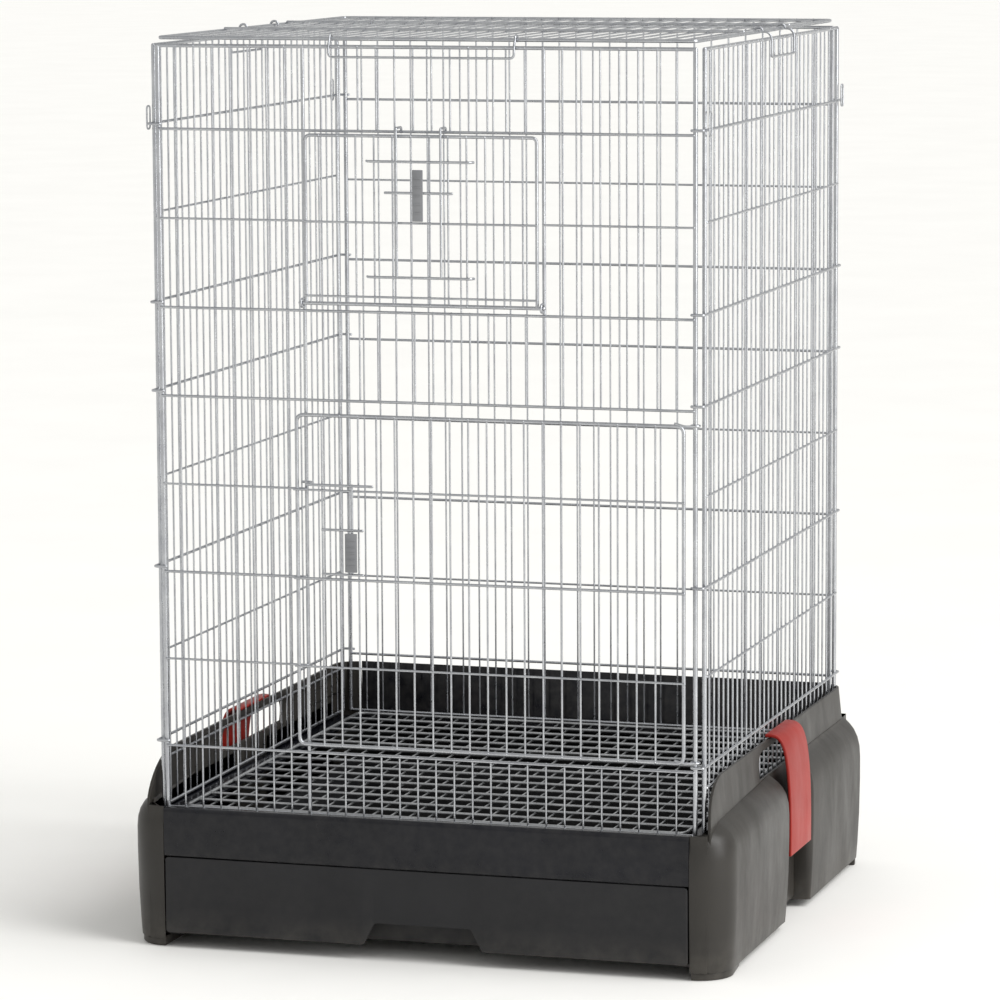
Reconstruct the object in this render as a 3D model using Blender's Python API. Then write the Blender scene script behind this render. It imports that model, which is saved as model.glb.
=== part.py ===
"""Wire rabbit cage: four welded wire panels and a lifting roof on a moulded base with a slide-out drawer.

Metres, +Z up, +X to the right and +Y to the back. The origin is on the ground under the middle of the base.
"""

import math

import bmesh
import bpy
from mathutils import Matrix, Vector

# Wires
THIN = 0.0012
BAR = 0.0013
RAIL = 0.0020
EDGE = 0.0016
POST = 0.0025
BAR_OFFSET = 0.0027
FRAME_CORNER = 0.0040
GAP = 0.0003

# Wire cage
POST_X = 0.2890
FRONT_Y = 0.3000
SIDE_X = 0.2970
SIDE_POST_Y = 0.2920
COLUMNS_WIDE = 29
COLUMNS_DEEP = 30
CAGE_BOTTOM = 0.1480
LEVEL_E = 0.2150
LEVEL_STEP = 0.0933
LEVEL_COUNT = 8
CAGE_TOP = 0.9545
SIDE_LEVEL_LIFT = 0.0050
CLAMP_RAIL_Z = 0.1975
LEVELS = [LEVEL_E + LEVEL_STEP * number for number in range(LEVEL_COUNT)]
LEVEL_DE, LEVEL_D, LEVEL_CD, LEVEL_C, LEVEL_B, LEVEL_AB, LEVEL_A = LEVELS[1:]
HOOK_LEVELS = (LEVEL_E, LEVEL_D, LEVEL_C, LEVEL_B, LEVEL_A)
PITCH = 2 * POST_X / COLUMNS_WIDE

# Doors
JAMB_COLUMN = 8
UPPER_JAMB_COLUMN = 21
DOOR_PLANE = 0.0085
LOWER_DOOR_LAP = 0.0075
LOWER_DOOR_BOTTOM = LEVEL_E + 0.0100
LOWER_DOOR_TOP = LEVEL_C - 0.0150
HINGE_INSET = 0.0100
EYE_RADIUS = 0.0044
UPPER_DOOR_BOTTOM = LEVEL_B + 0.0085
UPPER_DOOR_TOP = LEVEL_A - 0.0065
UPPER_DOOR_INSET = 0.0050
LATCH_PLANE = DOOR_PLANE + 0.0062
TAB_THICKNESS = 0.0024

# Roof
ROOF_Z = 0.9625
ROOF_HALF_DEPTH = 0.2960
ROOF_BARS_Y = (-0.1000, 0.1000)
CURL_RADIUS = 0.0038
FRONT_BAIL_HALF = 5 * PITCH
FRONT_BAIL_DROP = 0.0185
SIDE_BAIL_Y = (-0.0400, 0.0600)
SIDE_BAIL_DROP = 0.0265

# Moulded base
BASE_HALF_DEPTH = 0.3200
POD_X = 0.3300
WALL = 0.0030
WALL_IN = 0.3060
WALL_OUT = WALL_IN + WALL
WALL_Y = 0.3120
WALL_TOP = 0.2050
WALL_BOTTOM = 0.0120
RIM_Z = 0.1510
SEAM_Z = 0.0990
POD_TOP = 0.1650
POD_GAP = 0.0500
POD_BEVEL = 0.0150
FRONT_FOOT_LENGTH = 0.0800
BACK_FOOT_LENGTH = 0.0400
FOOT_STEP = 0.0080
FRONT_SLOT_X = 0.2880
SHELF_TOP = 0.1447
SHELF_IN = 0.2680
RUNNER_TOP = 0.0157
RUNNER_IN = 0.2700
SHOULDER_DEPTH = 0.0670

# Drawer
TRAY_X = 0.2830
TRAY_BACK = 0.2990
TRAY_BOTTOM = 0.0160
TRAY_TOP = 0.0975
NOTCH_HALF_WIDTH = 0.0650
NOTCH_HEIGHT = 0.0240
NOTCH_SLOPE = 0.0120
TRAY_FRONT = -0.2920

# Floor mesh
STAPLE_RADIUS = 0.0040
LAP = 0.0010
LEDGE_REACH = 0.0080
SHELF_FRONT_GAP = 0.0050
SHELF_BACK_GAP = 0.0170
FLANGE_DEPTH = 0.0160
FLANGE_DROP = 0.0200
WINDOW_HALF = 0.1000
WINDOW_LOW = 0.1690
WINDOW_HIGH = 0.1970
WINDOW_RADIUS = 0.0200
DRAWER_FACE_GAP = 0.0015
MESH_X = 0.2750
MESH_Y = 0.2858
MESH_Z = 0.1470
MESH_ROWS = 16
MESH_BARS = 27

# Levers
PIVOT_X = 0.3220
PIVOT_Z = 0.0840
PIN_RADIUS = 0.0030
BARREL_RADIUS = 0.0058
LEVER_HALF_WIDTH = 0.0460
LEVER_THICKNESS = 0.0034


def clear_scene():
    for obj in list(bpy.data.objects):
        bpy.data.objects.remove(obj, do_unlink=True)


def new_collection(name):
    collection = bpy.data.collections.new(name)
    bpy.context.scene.collection.children.link(collection)
    return collection


def new_material(name, colour, roughness, metallic):
    material = bpy.data.materials.new(name)
    material.use_nodes = True
    shader = material.node_tree.nodes["Principled BSDF"]
    shader.inputs["Base Color"].default_value = (*colour, 1.0)
    shader.inputs["Roughness"].default_value = roughness
    shader.inputs["Metallic"].default_value = metallic
    return material


clear_scene()
PARTS = new_collection("wire_rabbit_cage")


# Shapes

def object_from(bm, name="shape"):
    mesh = bpy.data.meshes.new(name)
    bm.to_mesh(mesh)
    bm.free()
    obj = bpy.data.objects.new(name, mesh)
    PARTS.objects.link(obj)
    return obj


def boxes(spans):
    """Separate boxes as one object, each from its low corner to its high corner."""
    bm = bmesh.new()
    for low, high in spans:
        centre = (Vector(low) + Vector(high)) / 2
        size = Vector(high) - Vector(low)
        place = Matrix.Translation(centre) @ Matrix.Diagonal((*size, 1.0))
        bmesh.ops.create_cube(bm, size=1.0, matrix=place)
    return object_from(bm)


def cylinder(centre, radius, length, axis, segments=16):
    """A closed cylinder about centre, along axis."""
    bm = bmesh.new()
    turn = Vector((0, 0, 1)).rotation_difference(Vector(axis)).to_matrix().to_4x4()
    place = Matrix.Translation(centre) @ turn
    bmesh.ops.create_cone(
        bm, cap_ends=True, segments=segments, radius1=radius, radius2=radius, depth=length, matrix=place
    )
    return object_from(bm)


def mesh_from_curve(curve):
    """Turns the curve into a mesh object with its caps welded on."""
    holder = bpy.data.objects.new("curve", curve)
    PARTS.objects.link(holder)
    bpy.context.view_layer.update()
    evaluated = holder.evaluated_get(bpy.context.evaluated_depsgraph_get())
    mesh = bpy.data.meshes.new_from_object(evaluated)
    bm = bmesh.new()
    bm.from_mesh(mesh)
    bmesh.ops.remove_doubles(bm, verts=bm.verts, dist=1e-6)
    bmesh.ops.recalc_face_normals(bm, faces=bm.faces)
    bpy.data.objects.remove(holder, do_unlink=True)
    return object_from(bm)


def add_path(curve, points, cyclic=False):
    spline = curve.splines.new("POLY")
    spline.points.add(len(points) - 1)
    for target, point in zip(spline.points, points):
        target.co = (*point, 1.0)
    spline.use_cyclic_u = cyclic


def wires(paths, radius, sides=0, cyclic=False):
    """Bent wires through the points of each path. They stay apart, so they make separate shells."""
    curve = bpy.data.curves.new("wire", "CURVE")
    curve.dimensions = "3D"
    curve.bevel_depth = radius
    curve.bevel_resolution = sides
    curve.use_fill_caps = True
    for points in paths:
        add_path(curve, points, cyclic)
    return mesh_from_curve(curve)


def plate(outline, holes, thickness):
    """A flat plate in the XY plane, centred on it, with holes."""
    curve = bpy.data.curves.new("plate", "CURVE")
    curve.dimensions = "2D"
    curve.fill_mode = "BOTH"
    curve.extrude = thickness / 2
    for points in (outline, *holes):
        add_path(curve, [(x, y, 0.0) for x, y in points], cyclic=True)
    return mesh_from_curve(curve)


def rectangle(x_low, x_high, y_low, y_high):
    return [(x_low, y_low), (x_high, y_low), (x_high, y_high), (x_low, y_high)]


def arc(centre, radius, start, end, steps):
    """Points of an arc in a plane, from angle start to angle end in degrees."""
    angles = [math.radians(start + (end - start) * step / steps) for step in range(steps + 1)]
    return [(centre[0] + radius * math.cos(a), centre[1] + radius * math.sin(a)) for a in angles]


def combine(target, tool, operation):
    """Boolean of the two objects, left on the target as a plain mesh."""
    modifier = target.modifiers.new(operation, "BOOLEAN")
    modifier.operation = operation
    modifier.solver = "EXACT"
    modifier.object = tool
    bpy.context.view_layer.update()
    evaluated = target.evaluated_get(bpy.context.evaluated_depsgraph_get())
    mesh = bpy.data.meshes.new_from_object(evaluated)
    target.modifiers.remove(modifier)
    target.data = mesh
    bpy.data.objects.remove(tool, do_unlink=True)
    return target


def joined(target, *tools):
    for tool in tools:
        combine(target, tool, "UNION")
    return target


def cut(target, *tools):
    for tool in tools:
        combine(target, tool, "DIFFERENCE")
    return target


def tidy(obj):
    """Melts needless vertices out of flat faces and straight edges."""
    bm = bmesh.new()
    bm.from_mesh(obj.data)
    bmesh.ops.remove_doubles(bm, verts=bm.verts, dist=2e-6)
    bmesh.ops.dissolve_limit(
        bm, angle_limit=math.radians(0.5), verts=bm.verts, edges=bm.edges, use_dissolve_boundaries=False
    )
    bmesh.ops.triangulate(bm, faces=bm.faces)
    bm.to_mesh(obj.data)
    bm.free()


def finish(obj, name, material, place=None, origin=None, round_piece=True):
    """Names the piece, gives it its material, and moves its origin to its joint axis."""
    obj.name = name
    obj.data.name = name
    tidy(obj)
    if place is not None:
        obj.data.transform(place)
    if origin is not None:
        obj.data.transform(Matrix.Translation(-Vector(origin)))
        obj.location = origin
    obj.data.materials.clear()
    obj.data.materials.append(material)
    if round_piece:
        obj.data.shade_smooth()
        obj.data.set_sharp_from_angle(angle=math.radians(35))
    return obj


def upright(across, outward, origin):
    """Stands a panel up: its local X runs along across, its Y runs up and its Z points outward."""
    up = Vector((0, 0, 1))
    turn = Matrix((across, up, outward)).transposed().to_4x4()
    return Matrix.Translation(origin) @ turn


# Wire panels

def column_x(half_width, columns):
    pitch = 2 * half_width / columns
    return [-half_width + pitch * number for number in range(columns + 1)]


def slot(xs, column, low, high):
    return rectangle(xs[column] + THIN, xs[column + 1] - THIN, low + THIN, high - THIN)


def grille(half_width, columns, bottom, top):
    """Upright wires between a bottom rail and a top rail, with a post at each side."""
    xs = column_x(half_width, columns)
    holes = [slot(xs, column, bottom, top) for column in range(columns)]
    return plate(rectangle(-half_width, half_width, bottom, top), holes, 2 * THIN)


def frame_wires(panel, half_width, bottom, top):
    posts = [[(x, bottom, 0), (x, top, 0)] for x in (-half_width, half_width)]
    reach = half_width + RAIL
    rails = [[(-reach, y, 0), (reach, y, 0)] for y in (bottom, top)]
    return joined(panel, wires(posts, POST, 2), wires(rails, RAIL, 1))


def hook_end(side):
    """The end of a side panel's level wire, bent round the front of the post of the panel it meets."""
    post_x = FRONT_Y
    post_z = POST_X - SIDE_X
    reach = POST + 0.0005 + BAR
    bend = 0.0018
    path = [
        (post_x + reach - bend, BAR_OFFSET),
        (post_x + reach, BAR_OFFSET - bend),
        (post_x + reach, post_z - 0.0010),
    ]
    return [(side * x, z) for x, z in path]


def side_panel(name, side, material):
    panel = grille(SIDE_POST_Y, COLUMNS_DEEP, CAGE_BOTTOM, CAGE_TOP)
    frame_wires(panel, SIDE_POST_Y, CAGE_BOTTOM, CAGE_TOP)
    straight = []
    hooked = []
    for level in LEVELS:
        height = level + SIDE_LEVEL_LIFT
        if level in HOOK_LEVELS:
            left = [(x, height, z) for x, z in reversed(hook_end(-1))]
            right = [(x, height, z) for x, z in hook_end(1)]
            hooked.append(left + right)
        else:
            straight.append(level_wire(-SIDE_POST_Y, SIDE_POST_Y, height))
    straight.append(level_wire(-SIDE_POST_Y, SIDE_POST_Y, CLAMP_RAIL_Z))
    joined(panel, wires(straight, BAR), wires(hooked, BAR))
    place = upright(Vector((0, side, 0)), Vector((side, 0, 0)), (side * SIDE_X, 0, 0))
    return finish(panel, name, material, place)


def level_wire(x_low, x_high, height, offset=BAR_OFFSET):
    return [(x_low, height, offset), (x_high, height, offset)]


def back_panel(name, material):
    panel = grille(POST_X, COLUMNS_WIDE, CAGE_BOTTOM, CAGE_TOP)
    frame_wires(panel, POST_X, CAGE_BOTTOM, CAGE_TOP)
    joined(panel, wires([level_wire(-POST_X, POST_X, level) for level in LEVELS], BAR))
    place = upright(Vector((-1, 0, 0)), Vector((0, 1, 0)), (0, FRONT_Y, 0))
    return finish(panel, name, material, place)


def staple(x, height):
    """A U of wire on an upright, in which the feeding door's hinge wire turns."""
    loop = [(DOOR_PLANE + dz, height + dy) for dz, dy in arc((0, 0), STAPLE_RADIUS, -90, 90, 4)]
    path = [(0.0, height - STAPLE_RADIUS), *loop, (0.0, height + STAPLE_RADIUS)]
    return [(x, y, z) for z, y in path]


def grille_piece(name, edges, low, high, material, edge_wires, bars=()):
    """Part of the front grille: uprights at the edges given, wires on its outer edges, and level bars."""
    holes = [slot(edges, column, low, high) for column in range(len(edges) - 1)]
    piece = plate(rectangle(edges[0], edges[-1], low, high), holes, 2 * THIN)
    for points, radius in edge_wires:
        joined(piece, wires([points], radius, 2 if radius == POST else 1))
    if bars:
        joined(piece, wires(bars, BAR))
    return finish(piece, name, material, front_plane(0))


def front_plane(forward):
    """Stands a piece up in the front panel's plane, or that far in front of it."""
    return upright(Vector((1, 0, 0)), Vector((0, -1, 0)), (0, -FRONT_Y - forward, 0))


def level_edge(x_low, x_high, height, radius=EDGE):
    inset = 0.0005
    return [(x_low + inset, height, 0), (x_high - inset, height, 0)], radius


def post_edge(x, low, high, radius):
    return [(x, low, 0), (x, high, 0)], radius


def front_panels(material):
    """Front grille round a large doorway low down on the right and a small one above it."""
    xs = column_x(POST_X, COLUMNS_WIDE)
    jamb, upper_jamb = xs[JAMB_COLUMN], xs[UPPER_JAMB_COLUMN]
    beside_jamb = jamb + RAIL + GAP
    beside_upper_jamb = upper_jamb - RAIL - GAP
    beside_post = POST_X - POST - GAP
    rails = [([(-POST_X - RAIL, z, 0), (jamb, z, 0)], RAIL) for z in (CAGE_BOTTOM, CAGE_TOP)]
    posts = [post_edge(-POST_X, CAGE_BOTTOM, CAGE_TOP, POST), post_edge(jamb, CAGE_BOTTOM, CAGE_TOP, RAIL)]
    bars = [level_wire(-POST_X, jamb, level) for level in LEVELS]
    bars.append(staple(jamb, UPPER_DOOR_BOTTOM))
    columns = xs[:JAMB_COLUMN + 1]
    grille_piece("front_panel_left", columns, CAGE_BOTTOM, CAGE_TOP, material, posts + rails, bars)
    columns = [beside_jamb, *xs[JAMB_COLUMN + 1:COLUMNS_WIDE], beside_post]
    sill = [level_edge(beside_jamb, beside_post, *wire) for wire in ((CAGE_BOTTOM, RAIL), (LEVEL_E, EDGE))]
    grille_piece("front_panel_sill", columns, CAGE_BOTTOM, LEVEL_E, material, sill)
    columns = [beside_jamb, *xs[JAMB_COLUMN + 1:UPPER_JAMB_COLUMN], beside_upper_jamb]
    middle = [level_edge(beside_jamb, beside_upper_jamb, level) for level in (LEVEL_C, LEVEL_B)]
    grille_piece("front_panel_middle", columns, LEVEL_C, LEVEL_B, material, middle)
    head = [
        level_edge(beside_jamb, beside_upper_jamb, LEVEL_A),
        level_edge(beside_jamb, beside_upper_jamb, CAGE_TOP, RAIL),
    ]
    grille_piece("front_panel_head", columns, LEVEL_A, CAGE_TOP, material, head)
    right = [
        post_edge(POST_X, LEVEL_C, CAGE_TOP, POST),
        post_edge(upper_jamb, LEVEL_C, CAGE_TOP, RAIL),
        ([(upper_jamb, CAGE_TOP, 0), (POST_X + RAIL, CAGE_TOP, 0)], RAIL),
        ([(upper_jamb, LEVEL_C, 0), (POST_X, LEVEL_C, 0)], EDGE),
    ]
    bars = [level_wire(upper_jamb, POST_X, level) for level in (LEVEL_B, LEVEL_AB, LEVEL_A)]
    bars.append(staple(upper_jamb, UPPER_DOOR_BOTTOM))
    grille_piece("front_panel_right", xs[UPPER_JAMB_COLUMN:], LEVEL_C, CAGE_TOP, material, right, bars)
    post_top = LEVEL_C - RAIL - GAP
    post = wires([[(POST_X, CAGE_BOTTOM - RAIL, 0), (POST_X, post_top, 0)]], POST, 2)
    finish(post, "front_hinge_post", material, front_plane(0))


def rounded_frame(x_low, x_high, y_low, y_high, radius):
    """Path of a wire bent into a rectangle with rounded corners."""
    corners = [
        ((x_high - radius, y_low + radius), -90),
        ((x_high - radius, y_high - radius), 0),
        ((x_low + radius, y_high - radius), 90),
        ((x_low + radius, y_low + radius), 180),
    ]
    points = []
    for centre, start in corners:
        points += arc(centre, radius, start, start + 90, 3)
    return [(x, y, 0.0) for x, y in points]


def hinge_eye(height, axis_x, arm_x):
    """A door wire's end, curled round the corner post on which the door swings."""
    curl = [(axis_x + x, z) for x, z in arc((0, -DOOR_PLANE), EYE_RADIUS, 90, -180, 9)]
    return [(arm_x, height, 0.0), *[(x, height, z) for x, z in curl]]


def lower_door(name, material):
    """The large door. Its local origin is on the hinge post's axis."""
    xs = column_x(POST_X, COLUMNS_WIDE)
    left = xs[JAMB_COLUMN] - LOWER_DOOR_LAP
    right = POST_X - HINGE_INSET
    edges = [left, *xs[JAMB_COLUMN + 1:COLUMNS_WIDE - 1], right]
    bottom, top = LOWER_DOOR_BOTTOM, LOWER_DOOR_TOP
    holes = [slot(edges, column, bottom, top) for column in range(len(edges) - 1)]
    door = plate(rectangle(left, right, bottom, top), holes, 2 * THIN)
    outer = wires([rounded_frame(left, right, bottom, top, FRAME_CORNER)], RAIL, 1, cyclic=True)
    bars = wires([level_wire(left, right, level) for level in (LEVEL_DE, LEVEL_D, LEVEL_CD)], BAR)
    joined(door, outer, bars)
    hinge_axis = (POST_X, -FRONT_Y, 0)
    finish(door, name, material, front_plane(DOOR_PLANE), origin=hinge_axis)
    for word, height in (("bottom", bottom), ("top", top)):
        eye = wires([hinge_eye(height, POST_X, right + RAIL + GAP)], BAR)
        finish(eye, f"{name}_loop_{word}", material, front_plane(DOOR_PLANE), origin=hinge_axis)


def upper_door(name, material):
    """The feeding door. Its bottom wire is its hinge, held in the front panel's staples."""
    xs = column_x(POST_X, COLUMNS_WIDE)
    left = xs[JAMB_COLUMN] + UPPER_DOOR_INSET
    right = xs[UPPER_JAMB_COLUMN] - UPPER_DOOR_INSET
    edges = [left, *xs[JAMB_COLUMN + 1:UPPER_JAMB_COLUMN], right]
    bottom, top = UPPER_DOOR_BOTTOM, UPPER_DOOR_TOP
    holes = [slot(edges, column, bottom, top) for column in range(len(edges) - 1)]
    door = plate(rectangle(left, right, bottom, top), holes, 2 * THIN)
    sides = [(left, bottom, 0), (left, top, 0), (right, top, 0), (right, bottom, 0)]
    overhang = UPPER_DOOR_INSET + 0.0035
    hinge = [(left - overhang, bottom, 0), (right + overhang, bottom, 0)]
    joined(door, wires([sides], RAIL, 1), wires([hinge], RAIL, 1))
    joined(door, wires([level_wire(left, right, LEVEL_AB)], BAR))
    return finish(door, name, material, front_plane(DOOR_PLANE), origin=(0, -FRONT_Y - DOOR_PLANE, bottom))


def lower_latch(wire_name, tab_name, steel, plastic):
    """A sliding bolt of wire on the large door, with a thumb tab."""
    jamb = -POST_X + JAMB_COLUMN * PITCH
    upright_x = jamb + 0.0540
    front = LATCH_PLANE
    behind = -POST - 0.0032
    entry = jamb + 0.0040
    bolt_z = LEVEL_CD + 0.0060
    foot_z = LEVEL_D + 0.0060
    middle_z = (bolt_z + foot_z) / 2
    bolt = [
        (jamb - 0.0080, bolt_z, behind),
        (entry - 0.0020, bolt_z, behind),
        (entry, bolt_z, behind + 0.0020),
        (entry, bolt_z, front - 0.0020),
        (entry + 0.0020, bolt_z, front),
        (upright_x + 0.0240, bolt_z, front),
    ]
    cross = [[(upright_x - 0.0330, z, front), (upright_x + 0.0130, z, front)] for z in (middle_z, foot_z)]
    wire = wires([[(upright_x, foot_z, front), (upright_x, bolt_z, front)]], BAR)
    joined(wire, wires([bolt, *cross], BAR * 1.05))
    place = front_plane(0)
    finish(wire, wire_name, steel, place)
    tab_front = front + BAR * 1.05 + GAP
    low = (upright_x - 0.0065, foot_z + 0.0030, tab_front)
    high = (upright_x + 0.0065, middle_z - 0.0030, tab_front + TAB_THICKNESS)
    finish(boxes([(low, high)]), tab_name, plastic, place, round_piece=False)


def upper_latch(wire_name, tab_name, steel, plastic):
    """A lifting catch of wire on the feeding door, whose two legs hook over the wire above it."""
    leg_x = 0.0240
    front = LATCH_PLANE
    hook_z = LEVEL_A + 0.0044
    low_z = UPPER_DOOR_BOTTOM + 0.0280
    high_z = LEVEL_A - 0.0300
    tab_z = LEVEL_A - 0.0620
    legs = []
    for x in (-leg_x, leg_x):
        legs.append([
            (x, low_z, front),
            (x, hook_z - 0.0015, front),
            (x, hook_z, front - 0.0015),
            (x, hook_z, -0.0020),
            (x, hook_z - 0.0015, -0.0035),
            (x, LEVEL_A - 0.0020, -0.0035),
        ])
    bars = [[(-0.0580, z, front), (0.0580, z, front)] for z in (low_z + 0.0010, high_z)]
    bars.append([(-0.0370, tab_z, front), (0.0370, tab_z, front)])
    wire = joined(wires(legs, BAR), wires(bars, BAR * 1.05))
    place = front_plane(0)
    finish(wire, wire_name, steel, place)
    tab_front = front + BAR * 1.05 + GAP
    low = (-0.0055, tab_z - 0.0290, tab_front)
    high = (0.0055, tab_z + 0.0240, tab_front + TAB_THICKNESS)
    finish(boxes([(low, high)]), tab_name, plastic, place, round_piece=False)


# Roof and its bails

def roof_panel(name, material):
    """Roof grille, with two eyes that turn on the back panel's top rail."""
    roof = grille(POST_X, COLUMNS_WIDE, -ROOF_HALF_DEPTH, ROOF_HALF_DEPTH)
    frame_paths = rounded_frame(-POST_X, POST_X, -ROOF_HALF_DEPTH, ROOF_HALF_DEPTH, FRAME_CORNER)
    joined(roof, wires([frame_paths], RAIL, 1, cyclic=True))
    bars = [level_wire(-POST_X, POST_X, y) for y in ROOF_BARS_Y]
    drop = CAGE_TOP - ROOF_Z
    eyes = []
    for column in (4.5, 24.5):
        x = -POST_X + column * PITCH
        ring = arc((FRONT_Y, drop), RAIL + 0.0005 + BAR, 135, -150, 8)
        eyes.append([(x, ROOF_HALF_DEPTH - 0.0010, 0.0010), *[(x, y, z) for y, z in ring]])
    joined(roof, wires(bars, BAR), wires(eyes, BAR))
    return finish(roof, name, material, Matrix.Translation((0, 0, ROOF_Z)), origin=(0, FRONT_Y, CAGE_TOP))


def curl(start, end):
    return arc((0, 0), CURL_RADIUS, start, end, 6)


def front_bail(name, material):
    """A swinging U of wire on the roof's front wire."""
    leg = [*curl(-30, 180), (-0.0085, -0.0070), (-0.0085, -FRONT_BAIL_DROP)]
    left = [(-FRONT_BAIL_HALF, y, z) for y, z in leg]
    right = [(FRONT_BAIL_HALF, y, z) for y, z in reversed(leg)]
    bail = wires([left + right], BAR)
    origin = (0, -ROOF_HALF_DEPTH, ROOF_Z)
    return finish(bail, name, material, Matrix.Translation(origin), origin=origin)


def side_bail(name, side, material):
    """A swinging U of wire on one of the roof's side wires."""
    leg = [*curl(210, 0), (0.0100, -0.0002), (0.0145, -0.0050), (0.0145, -SIDE_BAIL_DROP)]
    front, back = SIDE_BAIL_Y
    near = [(side * x, front, z) for x, z in leg]
    far = [(side * x, back, z) for x, z in reversed(leg)]
    bail = wires([near + far], BAR)
    origin = (side * POST_X, 0, ROOF_Z)
    return finish(bail, name, material, Matrix.Translation(origin), origin=origin)


def corner_loop(name, side, end, material):
    """A wire loop standing on the top hook of a corner, which ties two panels together."""
    x = side * (SIDE_X + BAR_OFFSET + 0.0036)
    y = end * (SIDE_POST_Y + 0.0010)
    low = LEVEL_A - 0.0010
    high = low + 0.0240
    reach = 0.0045
    path = rounded_frame(y - reach, y + reach, low, high, 0.0030)
    loop = wires([[(x, v, w) for v, w, _ in path]], BAR * 0.75, 0, cyclic=True)
    return finish(loop, name, material)


# Moulded base

def mirrored(obj, side):
    """Mirrors a right-hand piece to the left-hand side when side is -1."""
    if side < 0:
        obj.data.transform(Matrix.Scale(-1, 4, (1, 0, 0)))
        obj.data.flip_normals()
    return obj


def wall_outline():
    """Side wall seen from the side: its top edge sweeps down to the low front rim."""
    sweep = arc((1.0, 0.0), 1.0, 180, 90, 6)
    rise = WALL_TOP - RIM_Z
    points = [(-WALL_Y + SHOULDER_DEPTH * y, RIM_Z + rise * z) for y, z in sweep]
    return [(-WALL_Y, WALL_BOTTOM), *points, (WALL_Y, WALL_TOP), (WALL_Y, WALL_BOTTOM)]


def window_outline():
    """Arched window behind the lever."""
    half, low, high, radius = WINDOW_HALF, WINDOW_LOW, WINDOW_HIGH, WINDOW_RADIUS
    left = arc((-half + radius, high - radius), radius, 180, 90, 4)
    right = arc((half - radius, high - radius), radius, 90, 0, 4)
    return [(-half, low), *left, *right, (half, low)]


def bevelled_block(low, high, chosen, width, segments):
    """A box with the edges picked out by chosen(middle of edge) rounded off."""
    bm = bmesh.new()
    centre = (Vector(low) + Vector(high)) / 2
    size = Vector(high) - Vector(low)
    bmesh.ops.create_cube(bm, size=1.0, matrix=Matrix.Translation(centre) @ Matrix.Diagonal((*size, 1.0)))
    edges = [edge for edge in bm.edges if chosen((edge.verts[0].co + edge.verts[1].co) / 2)]
    bmesh.ops.bevel(bm, geom=edges, offset=width, segments=segments, profile=0.5, affect="EDGES")
    return object_from(bm)


def foot_length(end):
    return FRONT_FOOT_LENGTH if end < 0 else BACK_FOOT_LENGTH


def pod(end):
    """Hollow outer bulge of a side moulding that ends in a foot, open underneath. End is -1 in front."""
    def block(inset, low_x, low_z):
        low_y, high_y = sorted((end * (POD_GAP + inset), end * (BASE_HALF_DEPTH - inset)))
        low = (low_x, low_y, low_z)
        high = (POD_X - inset, high_y, POD_TOP - inset)

        def outer_edge(middle):
            outside = abs(middle.x - high[0]) < 1e-6
            on_top = abs(middle.z - high[2]) < 1e-6
            at_end = abs(abs(middle.y) - (BASE_HALF_DEPTH - inset)) < 1e-6
            return (outside and on_top) or (outside and at_end) or (on_top and at_end)

        return bevelled_block(low, high, outer_edge, POD_BEVEL - inset, 4)

    shell = cut(block(0.0, WALL_IN, 0.0), block(WALL, WALL_IN - WALL, -WALL))
    low_y, high_y = sorted((end * (BASE_HALF_DEPTH - foot_length(end)), end * (POD_GAP - WALL)))
    cut(shell, boxes([((WALL_IN - WALL, low_y, -WALL), (POD_X + WALL, high_y, FOOT_STEP))]))
    return shell


def base_side(name, side, material):
    """Side moulding: wall, two pods with feet, drawer runner, shelf for the wirework and lever bores."""
    wall = plate(wall_outline(), [window_outline()], WALL)
    wall.data.transform(upright(Vector((0, 1, 0)), Vector((1, 0, 0)), ((WALL_IN + WALL_OUT) / 2, 0, 0)))
    for end in (-1, 1):
        joined(wall, pod(end))
        returns = (FRONT_SLOT_X, end * BASE_HALF_DEPTH, 0.0)
        far = (WALL_OUT - LAP / 2, end * (BASE_HALF_DEPTH - WALL), RIM_Z - WALL)
        low = [min(a, b) for a, b in zip(returns, far)]
        high = [max(a, b) for a, b in zip(returns, far)]
        joined(wall, boxes([(low, high)]))
        low_y, high_y = sorted((end * (BASE_HALF_DEPTH - 0.0012), end * (BASE_HALF_DEPTH - foot_length(end))))
        joined(wall, boxes([((FRONT_SLOT_X + LAP, low_y, 0.0), (POD_X - POD_BEVEL, high_y, FOOT_STEP))]))
    shelf_front, shelf_back = -WALL_Y + SHELF_FRONT_GAP, WALL_Y - SHELF_BACK_GAP
    runner = ((RUNNER_IN, shelf_front, WALL_BOTTOM), (WALL_OUT - LAP, shelf_back, RUNNER_TOP))
    shelf = ((SHELF_IN, shelf_front, SHELF_TOP - WALL), (WALL_OUT - LAP, shelf_back, SHELF_TOP))
    joined(wall, boxes([runner, shelf]))
    cut(wall, cylinder((PIVOT_X, 0, PIVOT_Z), PIN_RADIUS + GAP, 0.1200, (0, 1, 0)))
    return finish(mirrored(wall, side), name, material)


def base_front_rail(name, material):
    """Low rim across the front, above the drawer, folded back along its top and its bottom."""
    half = FRONT_SLOT_X - GAP
    front = boxes([((-half, -BASE_HALF_DEPTH, SEAM_Z), (half, -BASE_HALF_DEPTH + WALL, RIM_Z))])
    flange_y = -FRONT_Y - POST - WALL
    top = ((-half, -BASE_HALF_DEPTH + LAP, RIM_Z - WALL), (half, flange_y, RIM_Z))
    low = ((-half, -BASE_HALF_DEPTH + LAP, SEAM_Z), (half, flange_y, SEAM_Z + WALL))
    joined(front, boxes([top, low]))
    inner = SHELF_IN - GAP
    ledge_z = SHELF_TOP - WALL
    ledge = ((-inner, -BASE_HALF_DEPTH + LAP, ledge_z - WALL), (inner, -MESH_Y + LEDGE_REACH, ledge_z))
    return finish(joined(front, boxes([ledge])), name, material, round_piece=False)


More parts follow.
